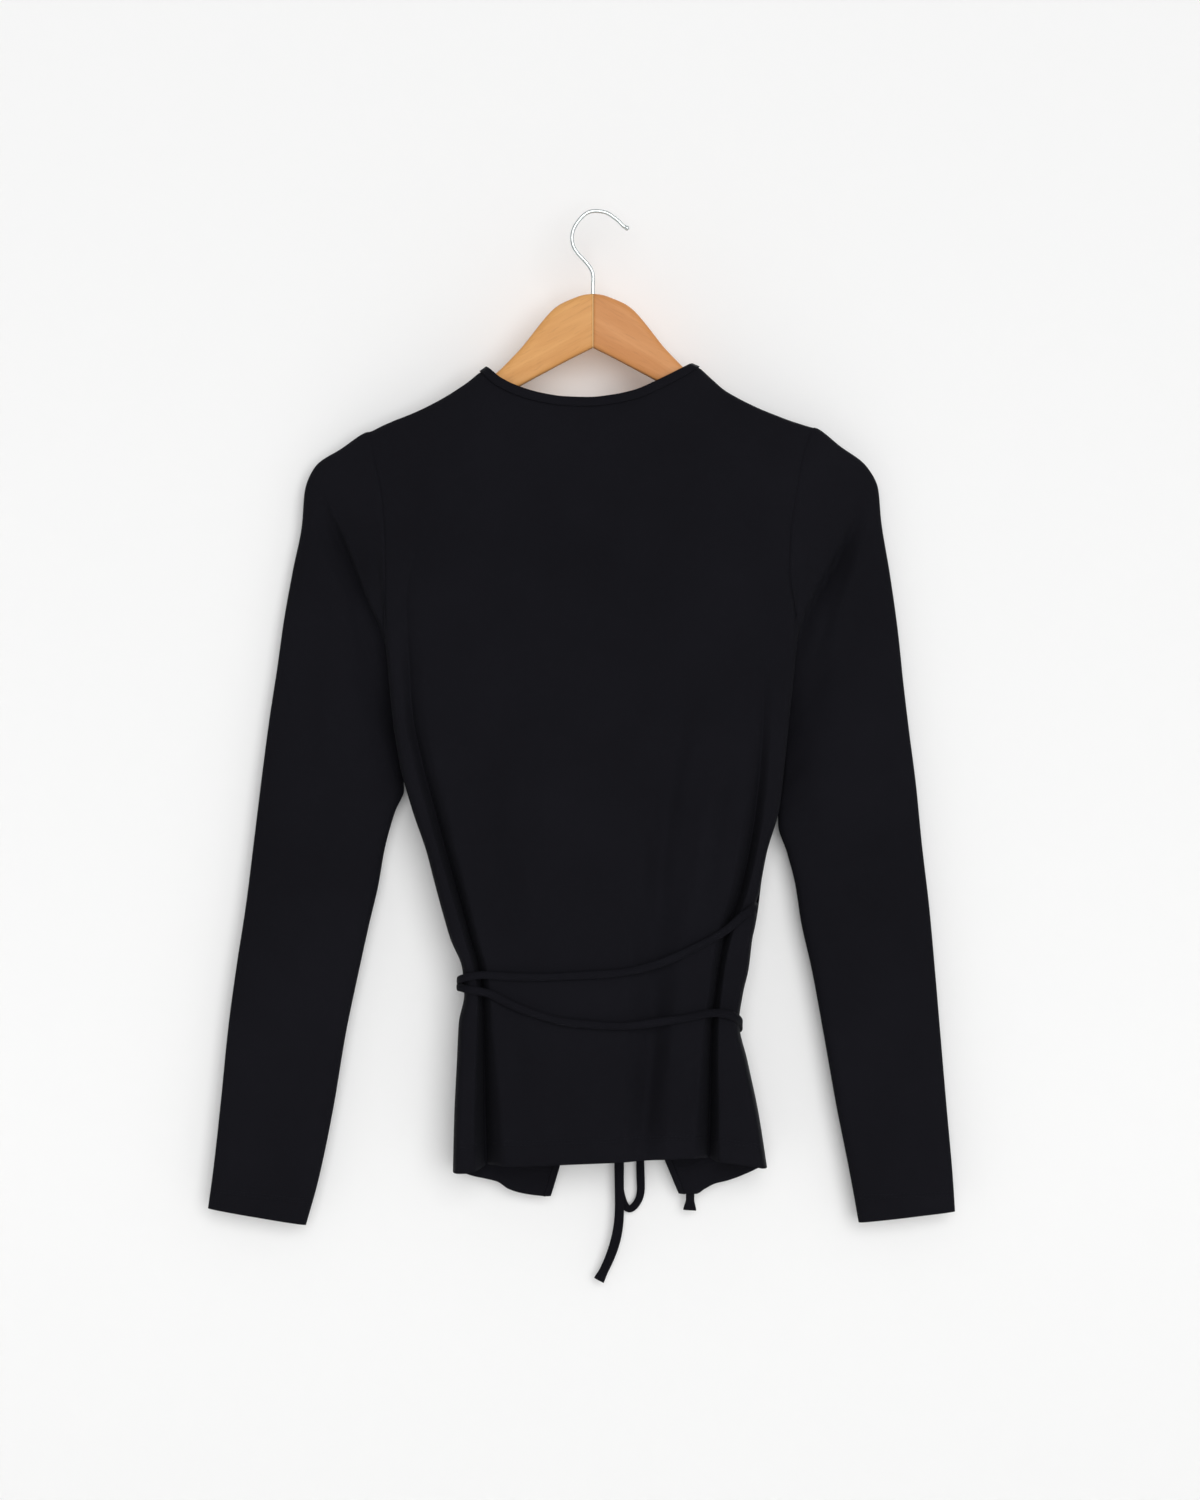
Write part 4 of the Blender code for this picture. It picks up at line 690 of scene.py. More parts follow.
def sleeve_points(side, armhole):
    """A sleeve as rings from the armhole to the cuff, each a flattened loop between two lines."""
    table = np.array(LEFT_SLEEVE if side == "left" else RIGHT_SLEEVE)
    outward = -1.0 if side == "left" else 1.0
    angles = np.radians(ARMHOLE_ANGLES + [360 - angle for angle in ARMHOLE_ANGLES[-2:0:-1]])
    outer = table[:, 0:3]
    inner = table[:, 3:6]
    middle = (outer + inner) / 2
    reach = (outer - inner) / 2
    cos = np.cos(angles)[None, :]
    sin = np.sin(angles)[None, :]
    x = middle[:, 0:1] + reach[:, 0:1] * cos
    z = middle[:, 1:2] + reach[:, 1:2] * cos
    bulge = table[:, 6:7] * np.abs(sin) ** table[:, 7:8]
    y = middle[:, 2:3] + reach[:, 2:3] * cos - np.sign(sin) * bulge
    points = np.stack((x, y, z), axis=-1)
    for i, fade in enumerate(ARMHOLE_FADE):
        points[i] += (armhole - points[0]) * fade if i else 0.0
    under = smooth_step((-cos[0] - 0.6) / 0.4)
    points[0] = armhole
    points[0, :, 0] -= outward * SEAM_LAP
    fold = soft_folds("sleeve_" + side, points[..., 0], points[..., 2], SLEEVE_FOLDS)
    points[1:, :, 1] += (fold * sin)[1:]
    level = np.array([outward * SEAM_STRIP, 0.0, 0.0])
    onward = (points[1] - points[0]) * UNDERARM_STRIP
    strip = points[0] + level * (1 - under[:, None]) + onward * under[:, None]
    return np.concatenate((points[:1], strip[None], points[1:]))


def armhole_ring(back, front, side):
    """The armhole seam as one loop: down the back panel's edge, then up the front panel's."""
    last = len(ARMHOLE_ANGLES)
    back_edge = back[:last, 0 if side == "left" else -1]
    front_edge = front[:last, 0]
    ring = np.concatenate((back_edge, front_edge[-2:0:-1]))
    ring[0, 1] = (back_edge[0, 1] + front_edge[0, 1]) / 2
    ring[last - 1, 1] = (back_edge[-1, 1] + front_edge[-1, 1]) / 2
    return ring


def band_strip(inner, outer):
    """A band's outer face as three lines, from just over the panel's edge to the band's free edge."""
    across = outer - inner
    across /= np.linalg.norm(across, axis=1)[:, None]
    start = inner - across * SEAM_LAP
    return np.stack([start, (start + outer) / 2, outer], axis=1)


def neck_band_points(back):
    """The neck band of the back, between the panel's edge and the outer neck line."""
    inner = back[0, LEFT_NECK_COLUMN:back.shape[1] - LEFT_NECK_COLUMN]
    neck = np.array(BACK_NECK)
    length = line_length(neck)
    reach = line_length(inner[:, [0, 2]])
    at = reach / reach[-1] * length[-1]
    x = table_curve(length, neck[:, 0], at)
    z = table_curve(length, neck[:, 1], at)
    y = body_middle(x, z) - body_half(x, z)
    y[[0, -1]] = body_middle(x[[0, -1]], z[[0, -1]]) + SEAM_LAP / 2
    return band_strip(inner, np.stack((x, y, z), axis=1))


def front_band_points(front, side):
    """The band down a front's edge, from the shoulder seam to the hem."""
    inward = 1.0 if side == "left" else -1.0
    neck_point = LEFT_NECK_POINT if side == "left" else RIGHT_NECK_POINT
    inner = front[:, -1]
    even = np.r_[0, 3:len(inner)]
    line = inset(inner[even][:, [0, 2]], -(BAND_WIDTH - SEAM_LAP) * inward)
    line[0] = neck_point
    line[-1, 1] = inner[-1, 2]
    step = line - inner[even][:, [0, 2]]
    rows = np.arange(len(inner))
    x = inner[:, 0] + np.interp(rows, even, step[:, 0])
    z = inner[:, 2] + np.interp(rows, even, step[:, 1])
    y = front_surface(x, z, 1.0, side)
    y[0] = body_middle(x[0], z[0]) - SEAM_LAP / 2
    return band_strip(inner, np.stack((x, y, z), axis=1))


def grid_mesh(name, points, ring=False, flip=False):
    """Mesh of four-sided faces over a grid of points in millimetres."""
    rows, columns = points.shape[:2]
    index = np.arange(rows * columns).reshape(rows, columns)
    following = np.roll(index, -1, axis=1) if ring else index[:, 1:]
    here = index if ring else index[:, :-1]
    faces = np.stack((here[:-1], following[:-1], following[1:], here[1:]), axis=-1).reshape(-1, 4)
    if flip:
        faces = faces[:, ::-1]
    mesh = bpy.data.meshes.new(name)
    mesh.from_pydata((points.reshape(-1, 3) * MM).tolist(), [], faces.tolist())
    mesh.update()
    return mesh


def fuller(value, power):
    """A cosine or sine bent towards a box's section by a power under 1."""
    return np.sign(value) * np.abs(value) ** power


def arm_points(direction):
    """One half of the hanger as rounded sections, from the glue line out to the tip."""
    table = smooth_route(HANGER_ARM, ARM_SPACING)
    angles = np.arange(WOOD_SIDES) * 2 * math.pi / WOOD_SIDES + math.pi / WOOD_SIDES
    cos = fuller(np.cos(angles), WOOD_ROUNDING)
    sin = fuller(np.sin(angles), WOOD_ROUNDING)
    distance = table[:, 0:1]
    middle = (table[:, 1:2] + table[:, 2:3]) / 2
    half_height = (table[:, 1:2] - table[:, 2:3]) / 2
    half_width = WOOD_HALF + (TIP_HALF - WOOD_HALF) * (distance / ARM_REACH) ** 2
    half_width[-1] *= TIP_END_SHARE
    x = direction * distance + np.zeros_like(cos)
    y = sweep(distance) + half_width * cos
    z = middle + half_height * sin
    return np.stack((x, y, z), axis=-1)


# Fineness of the visible surfaces, in millimetres of cloth
ROW_STEP = 3.2
COLUMN_STEP = 1.7
CLOTH_THICKNESS = 0.9
RING_WRAP = 3
PLACE_MERGE = 0.12

# Points closer than this are one point, in metres
MERGE_DISTANCE = 0.00002

# Camera: level, square to the back, at the distance of the photograph's view
CAMERA_PLACE = (0.0055, -3.0, -0.4189)
CAMERA_HALF_HEIGHT = 0.585
SENSOR_HEIGHT = 24.0
CAMERA_FAR = 30.0


def add_object(name, data):
    """A new object in the scene."""
    made = bpy.data.objects.new(name, data)
    bpy.context.scene.collection.objects.link(made)
    return made


def close_mesh(mesh, turn_outwards, *extras):
    """Join a mesh with any extra ones, merge the points that meet, and turn its faces outwards."""
    shape = bmesh.new()
    for part in (mesh, *extras):
        shape.from_mesh(part)
    bmesh.ops.remove_doubles(shape, verts=shape.verts, dist=MERGE_DISTANCE)
    if turn_outwards:
        bmesh.ops.recalc_face_normals(shape, faces=shape.faces)
    shape.to_mesh(mesh)
    shape.free()


def place_camera():
    """Camera looking along +Y at the blouse's back, as high as the picture's middle."""
    data = bpy.data.cameras.new("camera")
    data.sensor_fit = "VERTICAL"
    data.sensor_height = SENSOR_HEIGHT
    data.lens = SENSOR_HEIGHT / 2 * -CAMERA_PLACE[1] / CAMERA_HALF_HEIGHT
    data.clip_end = CAMERA_FAR
    camera = add_object("camera", data)
    camera.location = CAMERA_PLACE
    camera.rotation_euler = (math.pi / 2, 0.0, 0.0)
    bpy.context.scene.camera = camera


def fine_places(coarse, step, marks=()):
    """Places along a line: every coarse place, even steps between them, and the marked places."""
    parts = np.maximum(1, np.ceil(np.diff(coarse) / step)).astype(int)
    runs = [np.linspace(start, end, count, endpoint=False)
            for start, end, count in zip(coarse[:-1], coarse[1:], parts)]
    if len(marks):
        between = [run[np.abs(run[:, None] - marks).min(axis=1) > step / 2] for run in runs]
        runs = between + [marks]
    places = np.unique(np.concatenate(runs + [[coarse[0], coarse[-1]]]))
    return places[np.concatenate((np.diff(places) > PLACE_MERGE, [True]))]


def refine(points, row_step=ROW_STEP, column_step=COLUMN_STEP, ring=False, marks=()):
    """A finer grid through a coarse one's points, by the cubic of table_curve along rows and columns.

    Also gives the places of its rows and columns, in millimetres along the cloth. Marks are
    distances from the last row that get rows of their own.
    """
    rows = grid_length(points)
    row_places = fine_places(rows, row_step, rows[-1] - np.asarray(marks, dtype=float))
    grid = table_curve(rows, points, row_places)
    first = 0
    last = grid.shape[1] - 1
    if ring:
        grid = np.concatenate((grid[:, -RING_WRAP:], grid, grid[:, :RING_WRAP + 1]), axis=1)
        first, last = RING_WRAP, last + 1 + RING_WRAP
    columns = grid_length(np.swapaxes(grid, 0, 1))
    column_places = fine_places(columns[first:last + 1], column_step)
    if ring:
        column_places = column_places[:-1]
    grid = table_curve(columns, np.swapaxes(grid, 0, 1), column_places)
    return np.swapaxes(grid, 0, 1), row_places, column_places - column_places[0]


# Creases laid on each piece, sharper than the folds of the tables above. The last two
# numbers are the half width and the depth, and the others are x and height along the crease.
# A minus depth stands out.
BACK_CREASES = [
    ((76.0, -370.0, 64.0, -434.5, 53.9, -499.2, 49.2, -570.2), 6.0, 1.6),
    ((49.6, -600.0, 49.2, -642.0, 42.0, -690.0, 35.1, -744.0), 6.0, 1.8),
    ((109.0, -414.0, 96.8, -473.5, 86.6, -548.0), 5.0, 1.4),
    ((-46.0, -400.0, -49.1, -434.5, -53.0, -467.3, -54.0, -510.0), 8.0, 1.0),
    ((-150.0, -338.0, -128.0, -372.0, -98.0, -392.0), 8.0, 0.9),
    ((150.0, -342.0, 126.0, -372.0, 100.0, -388.0), 8.0, 0.8),
    ((-120.0, -500.0, -92.0, -540.0, -66.0, -560.0), 7.0, 0.8),
    ((-78.0, -606.0, -62.0, -640.0, -56.0, -690.0), 6.0, 1.0),
    ((84.0, -640.0, 76.0, -680.0, 74.0, -722.0), 5.0, 0.9),
    ((14.0, -598.0, 10.0, -640.0, 12.0, -690.0), 9.0, 0.6),
    ((-20.0, -640.0, -24.0, -690.0, -22.0, -742.0), 8.0, 0.7),
    ((-166.0, -195.4, -152.6, -197.8), 3.2, 0.8),
    ((-150.0, -176.0, -120.0, -200.0, -96.0, -240.0), 12.0, 0.6),
    ((146.0, -172.0, 118.0, -198.0, 94.0, -238.0), 12.0, 0.6),
    ((-52.0, -146.0, -30.0, -172.0, 0.0, -182.0, 30.0, -170.0, 46.0, -142.0), 7.0, 0.5),
]
FRONT_LEFT_CREASES = [
    ((-110.0, -340.0, -96.0, -430.0, -88.0, -540.0), 7.0, 1.6),
    ((-60.0, -330.0, -42.0, -430.0, -20.0, -540.0), 9.0, 1.3),
    ((-84.0, -570.0, -50.0, -590.0, -20.0, -596.0), 6.0, 1.2),
    ((-88.0, -622.0, -74.0, -660.0, -70.0, -730.0), 6.0, 1.5),
    ((-50.0, -618.0, -52.0, -660.0, -56.0, -720.0), 6.0, 1.1),
    ((-18.0, -624.0, -20.0, -660.0, -26.0, -700.0), 5.0, 0.9),
    ((-130.0, -180.0, -104.0, -230.0, -78.0, -300.0), 11.0, 0.9),
]
FRONT_RIGHT_CREASES = [
    ((116.0, -340.0, 106.0, -430.0, 96.0, -540.0), 7.0, 1.6),
    ((74.0, -330.0, 60.0, -430.0, 40.0, -560.0), 9.0, 1.2),
    ((100.0, -560.0, 70.0, -590.0, 44.0, -606.0), 6.0, 1.2),
    ((104.0, -652.0, 92.0, -690.0, 88.0, -740.0), 6.0, 1.4),
    ((60.0, -648.0, 66.0, -690.0, 76.0, -740.0), 6.0, 1.0),
    ((24.0, -590.0, 40.0, -560.0, 62.0, -520.0), 6.0, 0.9),
    ((130.0, -178.0, 104.0, -230.0, 82.0, -300.0), 11.0, 0.9),
]
SLEEVE_CREASES = [
    ((-221.0, -332.0, -224.0, -390.0, -222.0, -458.0), 8.0, 0.9),
    ((-240.0, -470.0, -212.0, -492.0, -176.0, -500.0), 8.0, 0.8),
    ((-178.0, -520.0, -204.0, -540.0, -236.0, -546.0), 8.0, 0.8),
    ((-188.0, -590.0, -214.0, -602.0, -246.0, -604.0), 9.0, 0.6),
    ((-250.0, -660.0, -254.0, -720.0, -258.0, -770.0), 9.0, 0.6),
    ((-214.0, -190.0, -206.0, -224.0, -192.0, -250.0), 7.0, 0.9),
]
# Sharp fold of each sleeve, from its outer cap to the underarm and on down its inner edge. The
# cloth drops behind it at once on the cap's side, and comes back slowly on the other.
SHARP_FOLDS = {
    "sleeve_left": (-218.0, -212.0, -193.4, -265.8, -178.4, -302.1, -166.0, -330.0, -160.0, -362.0,
                    -156.6, -391.3, -151.0, -433.1, -153.0, -475.0),
    "sleeve_right": (-214.0, -224.0, -187.0, -276.8, -170.0, -308.0, -160.5, -336.0, -156.5, -368.0,
                     -154.0, -396.8, -149.0, -439.4, -147.5, -484.0),
}
SHARP_FOLD_DEPTH = 14.0
SHARP_FOLD_STEP = 3.0
SHARP_FOLD_WIDTHS = (12.0, 30.0)
# Share of the fold's length that each change takes: its width, its start and its end
SHARP_FOLD_WIDENING = 0.45
SHARP_FOLD_START = 0.22
SHARP_FOLD_END = 0.35
CREASES = {
    "back": BACK_CREASES, "front_left": FRONT_LEFT_CREASES, "front_right": FRONT_RIGHT_CREASES,
    "sleeve_left": SLEEVE_CREASES, "sleeve_right": SLEEVE_CREASES,
}
# The lip on both sides of a crease: its height as a share of the depth, and its place and width as
# shares of the half width
LIP = 0.3
LIP_PLACE = 1.9
LIP_WIDTH = 0.8
CREASE_FADE = 0.28
CREASE_SPACING = 12.0

# Slow waves that keep the cloth from lying dead flat
# columns: wave length across, wave length down, phase, depth
CLOTH_WAVES = [
    (71.0, 190.0, 0.4, 0.22), (43.0, 260.0, 2.1, 0.20), (118.0, 113.0, 4.0, 0.16),
    (-57.0, 171.0, 5.2, 0.15),
]


def crease_line(route):
    """A smooth line through a crease's own points."""
    return smooth_route(np.reshape(route, (-1, 2)), CREASE_SPACING)


def line_distance(x, z, line):
    """Signed distance of each point from a line of straight runs, and the share along the line."""
    steps = np.diff(line, axis=0)
    lengths = np.hypot(steps[:, 0], steps[:, 1])
    done = 0.0
    near = np.full(x.shape, np.inf)
    side = np.zeros(x.shape)
    share = np.zeros(x.shape)
    for (x0, z0), (dx, dz), length in zip(line[:-1], steps, lengths):
        along = np.clip(((x - x0) * dx + (z - z0) * dz) / length ** 2, 0.0, 1.0)
        off_x = x - x0 - along * dx
        off_z = z - z0 - along * dz
        away = np.hypot(off_x, off_z)
        closer = away < near
        near = np.where(closer, away, near)
        side = np.where(closer, np.sign(off_x * dz - off_z * dx), side)
        share = np.where(closer, (done + along * length) / lengths.sum(), share)
        done += length
    return near * side, share


def crease_depth(x, z, creases, mirror=1.0):
    """Depth of the creases: a valley with a low lip on both sides, fading at the crease's ends."""
    total = np.zeros_like(x)
    for route, half_width, depth in creases:
        away, share = line_distance(x * mirror, z, crease_line(route))
        across = np.abs(away) / half_width
        valley = np.exp(-across ** 2) - LIP * np.exp(-((across - LIP_PLACE) / LIP_WIDTH) ** 2)
        fade = smooth_step(share / CREASE_FADE) * smooth_step((1 - share) / CREASE_FADE)
        total += depth * valley * fade
    return total


def cloth_waves(x, z):
    """Sum of slow slanting waves."""
    total = np.zeros_like(x)
    for across, down, phase, depth in CLOTH_WAVES:
        total += depth * np.sin(2 * math.pi * (x / across + z / down) + phase)
    return total


# Hem stitching: distance from the edge and the needles' distance apart
BACK_HEM_STITCH = 18.0
CUFF_STITCH = 17.0
NEEDLE_SPACING = 2.6
HEM_GROOVE = 0.34
HEM_GROOVE_HALF = 0.8
HEM_SWELL = 0.22
HEM_SWELL_BLEND = 2.0
# Rows of the grid beside each needle line, as distances from it
NEEDLE_ROWS = np.array([-1.6, -0.8, 0.0, 0.8, 1.6])


def needle_lines(distance):
    """Distances of a stitched hem's two needle lines from the edge."""
    return distance - NEEDLE_SPACING / 2, distance + NEEDLE_SPACING / 2


def stitch_marks(distance):
    """Row places that a stitched hem needs: close together by each of its two needle lines."""
    return np.unique(np.round(np.concatenate([line + NEEDLE_ROWS for line in needle_lines(distance)]), 2))


def hem_relief(from_edge, distance):
    """Depth of a stitched hem: two fine grooves at the needle lines, and a fuller turned-up strip."""
    total = np.zeros_like(from_edge)
    for line in needle_lines(distance):
        total += HEM_GROOVE * np.exp(-((from_edge - line) / HEM_GROOVE_HALF) ** 2)
    return total - HEM_SWELL * smooth_step((distance - from_edge) / HEM_SWELL_BLEND)


def surface_object(name, points, rows=None, columns=None, ring=False, flip=False, closed=False):
    """Mesh of a grid of points in millimetres, with its own cloth measures as UV in metres."""
    mesh = grid_mesh(name, points, ring, flip)
    if rows is None:
        rows = grid_length(points)
        columns = grid_length(np.swapaxes(points, 0, 1))
    count = points.shape[1]
    corner = np.zeros(len(mesh.loops), dtype=np.int32)
    mesh.loops.foreach_get("vertex_index", corner)
    row, col = np.divmod(corner, count)
    across = np.asarray(columns)[col]
    if ring:
        by_face = across.reshape(-1, 4)
        wrapped = (by_face.max(axis=1) - by_face.min(axis=1)) > columns[-1] / 2
        full = columns[-1] + np.diff(columns).mean()
        by_face[wrapped] = np.where(by_face[wrapped] < columns[-1] / 2, by_face[wrapped] + full,
                                    by_face[wrapped])
        across = by_face.ravel()
    layer = mesh.uv_layers.new(name="cloth")
    layer.data.foreach_set("uv", (np.stack((across, -np.asarray(rows)[row]), axis=1) * MM).ravel())
    if closed:
        close_mesh(mesh, False)
    mesh.shade_smooth()
    return add_object(name, mesh)


def dress(piece, material, slot, *nodes):
    """Give a piece its material, put it on the body, and let it stand for its CAD nodes. The slot is not
    used.
    """
    piece.data.materials.append(material)
    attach(piece, "root")
    if nodes:
        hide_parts(*nodes)
    return piece


def cloth_piece(name, points, rows, columns, material, node, ring=False, flip=False,
                thickness=CLOTH_THICKNESS, offset=-1.0):
    """A cloth piece: its surface with a thin wall inwards."""
    made = surface_object(name, points, rows, columns, ring, flip)
    wall = made.modifiers.new("wall", "SOLIDIFY")
    wall.thickness = thickness * MM
    wall.offset = offset
    wall.use_even_offset = False
    return dress(made, material, "jersey", node)


STITCH_LENGTH = 2.3
STITCH_PITCH = 3.1
STITCH_HALF_WIDTH = 0.17
STITCH_SIDES = 6
LAST_STITCH_MARGIN = 0.4
# columns: share of the stitch's length, share of its half width, height over the cloth
STITCH_RINGS = np.array([
    (0.0, 0.0, -0.12), (0.12, 0.75, 0.05), (0.5, 1.0, 0.11), (0.88, 0.75, 0.05), (1.0, 0.0, -0.12),
])


def read_line(line, length, at):
    """Points of a line at distances along it."""
    return np.stack([np.interp(at, length, line[:, k]) for k in range(3)], axis=1)


def unit(vectors):
    """Vectors made one long."""
    return vectors / np.linalg.norm(vectors, axis=-1, keepdims=True)


def grid_normals(points):
    """Unit normal at each point of a grid, along rows cross columns."""
    down = np.gradient(points, axis=0)
    across = np.gradient(points, axis=1)
    normal = np.cross(across, down)
    return normal / np.maximum(np.linalg.norm(normal, axis=2, keepdims=True), 1e-9)


def stitch_lines(name, lines, material):
    """Machine stitches along lines: each stitch is a small capsule, half sunk in the cloth.

    A line is its points and its outward directions.
    """
    all_points = []
    for line, outward in lines:
        length = line_length(line)
        starts = np.arange(STITCH_PITCH / 2, length[-1] - STITCH_LENGTH - LAST_STITCH_MARGIN, STITCH_PITCH)
        start = read_line(line, length, starts)
        along = read_line(line, length, starts + STITCH_LENGTH) - start
        out = unit(read_line(outward, length, starts + STITCH_LENGTH / 2))
        side = unit(np.cross(along, out))
        shares, sizes, lifts = STITCH_RINGS.T
        angles = np.arange(STITCH_SIDES) * 2 * math.pi / STITCH_SIDES
        centre = (start[:, None] + along[:, None] * shares[None, :, None]
                  + out[:, None] * lifts[None, :, None])
        ring = (side[:, None, None] * np.cos(angles)[None, None, :, None]
                + out[:, None, None] * np.sin(angles)[None, None, :, None])
        all_points.append(centre[:, :, None] + ring * (STITCH_HALF_WIDTH * sizes)[None, :, None, None])
    points = np.concatenate(all_points)
    count, rings, around = points.shape[:3]
    index = np.arange(count * rings * around).reshape(count, rings, around)
    turned = np.roll(index, -1, axis=2)
    faces = np.stack((index[:, :-1], index[:, 1:], turned[:, 1:], turned[:, :-1]), axis=-1).reshape(-1, 4)
    mesh = bpy.data.meshes.new(name)
    mesh.from_pydata((points.reshape(-1, 3) * MM).tolist(), [], faces.tolist())
    close_mesh(mesh, True)
    mesh.shade_smooth()
    return dress(add_object(name, mesh), material, "jersey")


def tube_normals(points, outward):
    """Side and outward directions along a path, square to it and to each other."""
    along = unit(np.gradient(points, axis=0))
    side = unit(np.cross(along, outward))
    return side, np.cross(side, along)


def close_tube(points):
    """Add rings that close both ends of a tube: a small rounding, then the middle point."""
    first = points[0].mean(axis=0)
    last = points[-1].mean(axis=0)
    shares = np.array([0.0, 0.6])[:, None, None]
    start = first + (points[0] - first) * shares
    end = last + (points[-1] - last) * shares[::-1]
    return np.concatenate((start, points, end))


# Section of a tie: a flat sewn tube with its seam a little off the middle of one face
TIE_HALF_WIDTH = 3.15
TIE_HALF_THICKNESS = 1.9
TIE_SIDES = 22
TIE_STEP = 1.6
TIE_FULLNESS = (0.9, 0.85)
# Place across, half width and depth of the seam's groove, and the face that it is on
TIE_SEAM = (1.0, 0.3, 0.35)
TIE_SEAM_FACE = 0.3
# How far the width and the thickness waver, and over what length
TIE_WIDTH_WAVE = (0.05, 61.0)
TIE_THICKNESS_WAVE = (0.07, 37.0)
TWIST_START = 12.0
FLARE_LENGTH = 9.0
FLARE_THINNING = 0.8
# The body that the ties lie flat on, as an oval
BODY_HALF_WIDTH = 108.0
BODY_HALF_DEPTH = 20.0
BODY_MIDDLE = 12.0
# columns: part of the ties, twist, twist length, phase, flare of the free end, width share
TIE_HANG = {
    "tie_left": (0.22, 133.0, 0.6, 0.0, 1.0), "tie_right": (0.22, 118.0, 2.2, 0.0, 1.0),
    "bow_loop_long": (0.24, 96.0, 1.0, 0.0, 1.0), "bow_loop_short": (0.25, 70.0, 0.3, 0.0, 1.0),
    "tie_end_long": (0.20, 88.0, 2.6, 0.22, 1.2), "tie_end_short": (0.16, 102.0, 1.1, 0.62, 1.1),
}


def wave(length, share, span, phase):
    """A slow wave along a tie."""
    return share * np.sin(2 * math.pi * length / span + phase)


def tie_points(route, twist, twist_length, phase, flare, width):
    """A tie along its route: a flattened section, its flat face to the body, that twists a little."""
    line = smooth_route(route, TIE_STEP)
    away = np.stack((line[:, 0] / BODY_HALF_WIDTH ** 2, (line[:, 1] - BODY_MIDDLE) / BODY_HALF_DEPTH ** 2,
                     np.zeros(len(line))), axis=1)
    side, out = tube_normals(line, away)
    length = line_length(line)
    turn = (wave(length, twist, twist_length, phase) * smooth_step(length / TWIST_START))[:, None]
    turned_side = side * np.cos(turn) + out * np.sin(turn)
    turned_out = out * np.cos(turn) - side * np.sin(turn)
    angles = np.arange(TIE_SIDES) * 2 * math.pi / TIE_SIDES
    across = TIE_HALF_WIDTH * fuller(np.cos(angles), TIE_FULLNESS[0])
    lift = TIE_HALF_THICKNESS * fuller(np.sin(angles), TIE_FULLNESS[1])
    place, half, depth = TIE_SEAM
    on_seam_face = np.sin(angles) > TIE_SEAM_FACE
    lift -= np.where(on_seam_face, depth * np.exp(-((across - place) / half) ** 2), 0.0)
    at_end = flare * smooth_step((length - length[-1] + FLARE_LENGTH) / FLARE_LENGTH)
    wide = width + wave(length, *TIE_WIDTH_WAVE, phase) + at_end
    thin = 1 + wave(length, *TIE_THICKNESS_WAVE, 2 * phase) - FLARE_THINNING * at_end
    points = (line[:, None] + turned_side[:, None] * (across[None, :] * wide[:, None])[..., None]
              + turned_out[:, None] * (lift[None, :] * thin[:, None])[..., None])
    return close_tube(points), line, float(length[-1])


def put(tree, kind, inputs=None, **settings):
    """Add a shader node, set its options, and set or link its inputs."""
    made = tree.nodes.new(kind)
    for key, value in settings.items():
        setattr(made, key, value)
    for key, value in (inputs or {}).items():
        if isinstance(value, bpy.types.NodeSocket):
            tree.links.new(value, made.inputs[key])
        else:
            made.inputs[key].default_value = value
    return made


def sums(tree, operation, *values):
    """One Math node's result."""
    return put(tree, "ShaderNodeMath", dict(enumerate(values)), operation=operation).outputs[0]


def blend_colours(tree, share, first, second):
    """Mix of two colours by a mask."""
    made = put(tree, "ShaderNodeMix", data_type="RGBA")
    for socket, value in ((made.inputs[0], share), (made.inputs[6], first), (made.inputs[7], second)):
        if isinstance(value, bpy.types.NodeSocket):
            tree.links.new(value, socket)
        else:
            socket.default_value = value if isinstance(value, float) else (*value, 1.0)
    return made.outputs[2]


def start_group(name, inputs, outputs):
    """A shader node group with named inputs, each with its first value, and named outputs."""
    tree = bpy.data.node_groups.new(name, "ShaderNodeTree")
    for key, value in inputs.items():
        kind = "NodeSocketVector" if value is None else "NodeSocketFloat"
        made = tree.interface.new_socket(name=key, in_out="INPUT", socket_type=kind)
        if value is not None:
            made.default_value = value
    for key in outputs:
        tree.interface.new_socket(name=key, in_out="OUTPUT", socket_type="NodeSocketFloat")
    return tree, put(tree, "NodeGroupInput").outputs, put(tree, "NodeGroupOutput").inputs


def noise(tree, vector, scale, detail, **others):
    """Value of a noise texture."""
    inputs = {"Vector": vector, "Scale": scale, "Detail": detail, **others}
    return put(tree, "ShaderNodeTexNoise", inputs).outputs[0]


def ranged(tree, value, low, high, first=0.0, last=1.0):
    """A value led from one range to another."""
    return put(tree, "ShaderNodeMapRange", {0: value, 1: low, 2: high, 3: first, 4: last}).outputs[0]


def object_place(tree):
    """Object coordinates."""
    return put(tree, "ShaderNodeTexCoord").outputs["Object"]


def cloth_place(tree):
    """A piece's own measures along its surface, from its UV map."""
    return put(tree, "ShaderNodeUVMap", uv_map="cloth").outputs[0]


def set_relief(tree, shader, height, strength, distance):
    """Bump a surface by a height."""
    relief = put(tree, "ShaderNodeBump", {"Height": height, "Strength": strength, "Distance": distance})
    tree.links.new(relief.outputs[0], shader.inputs["Normal"])


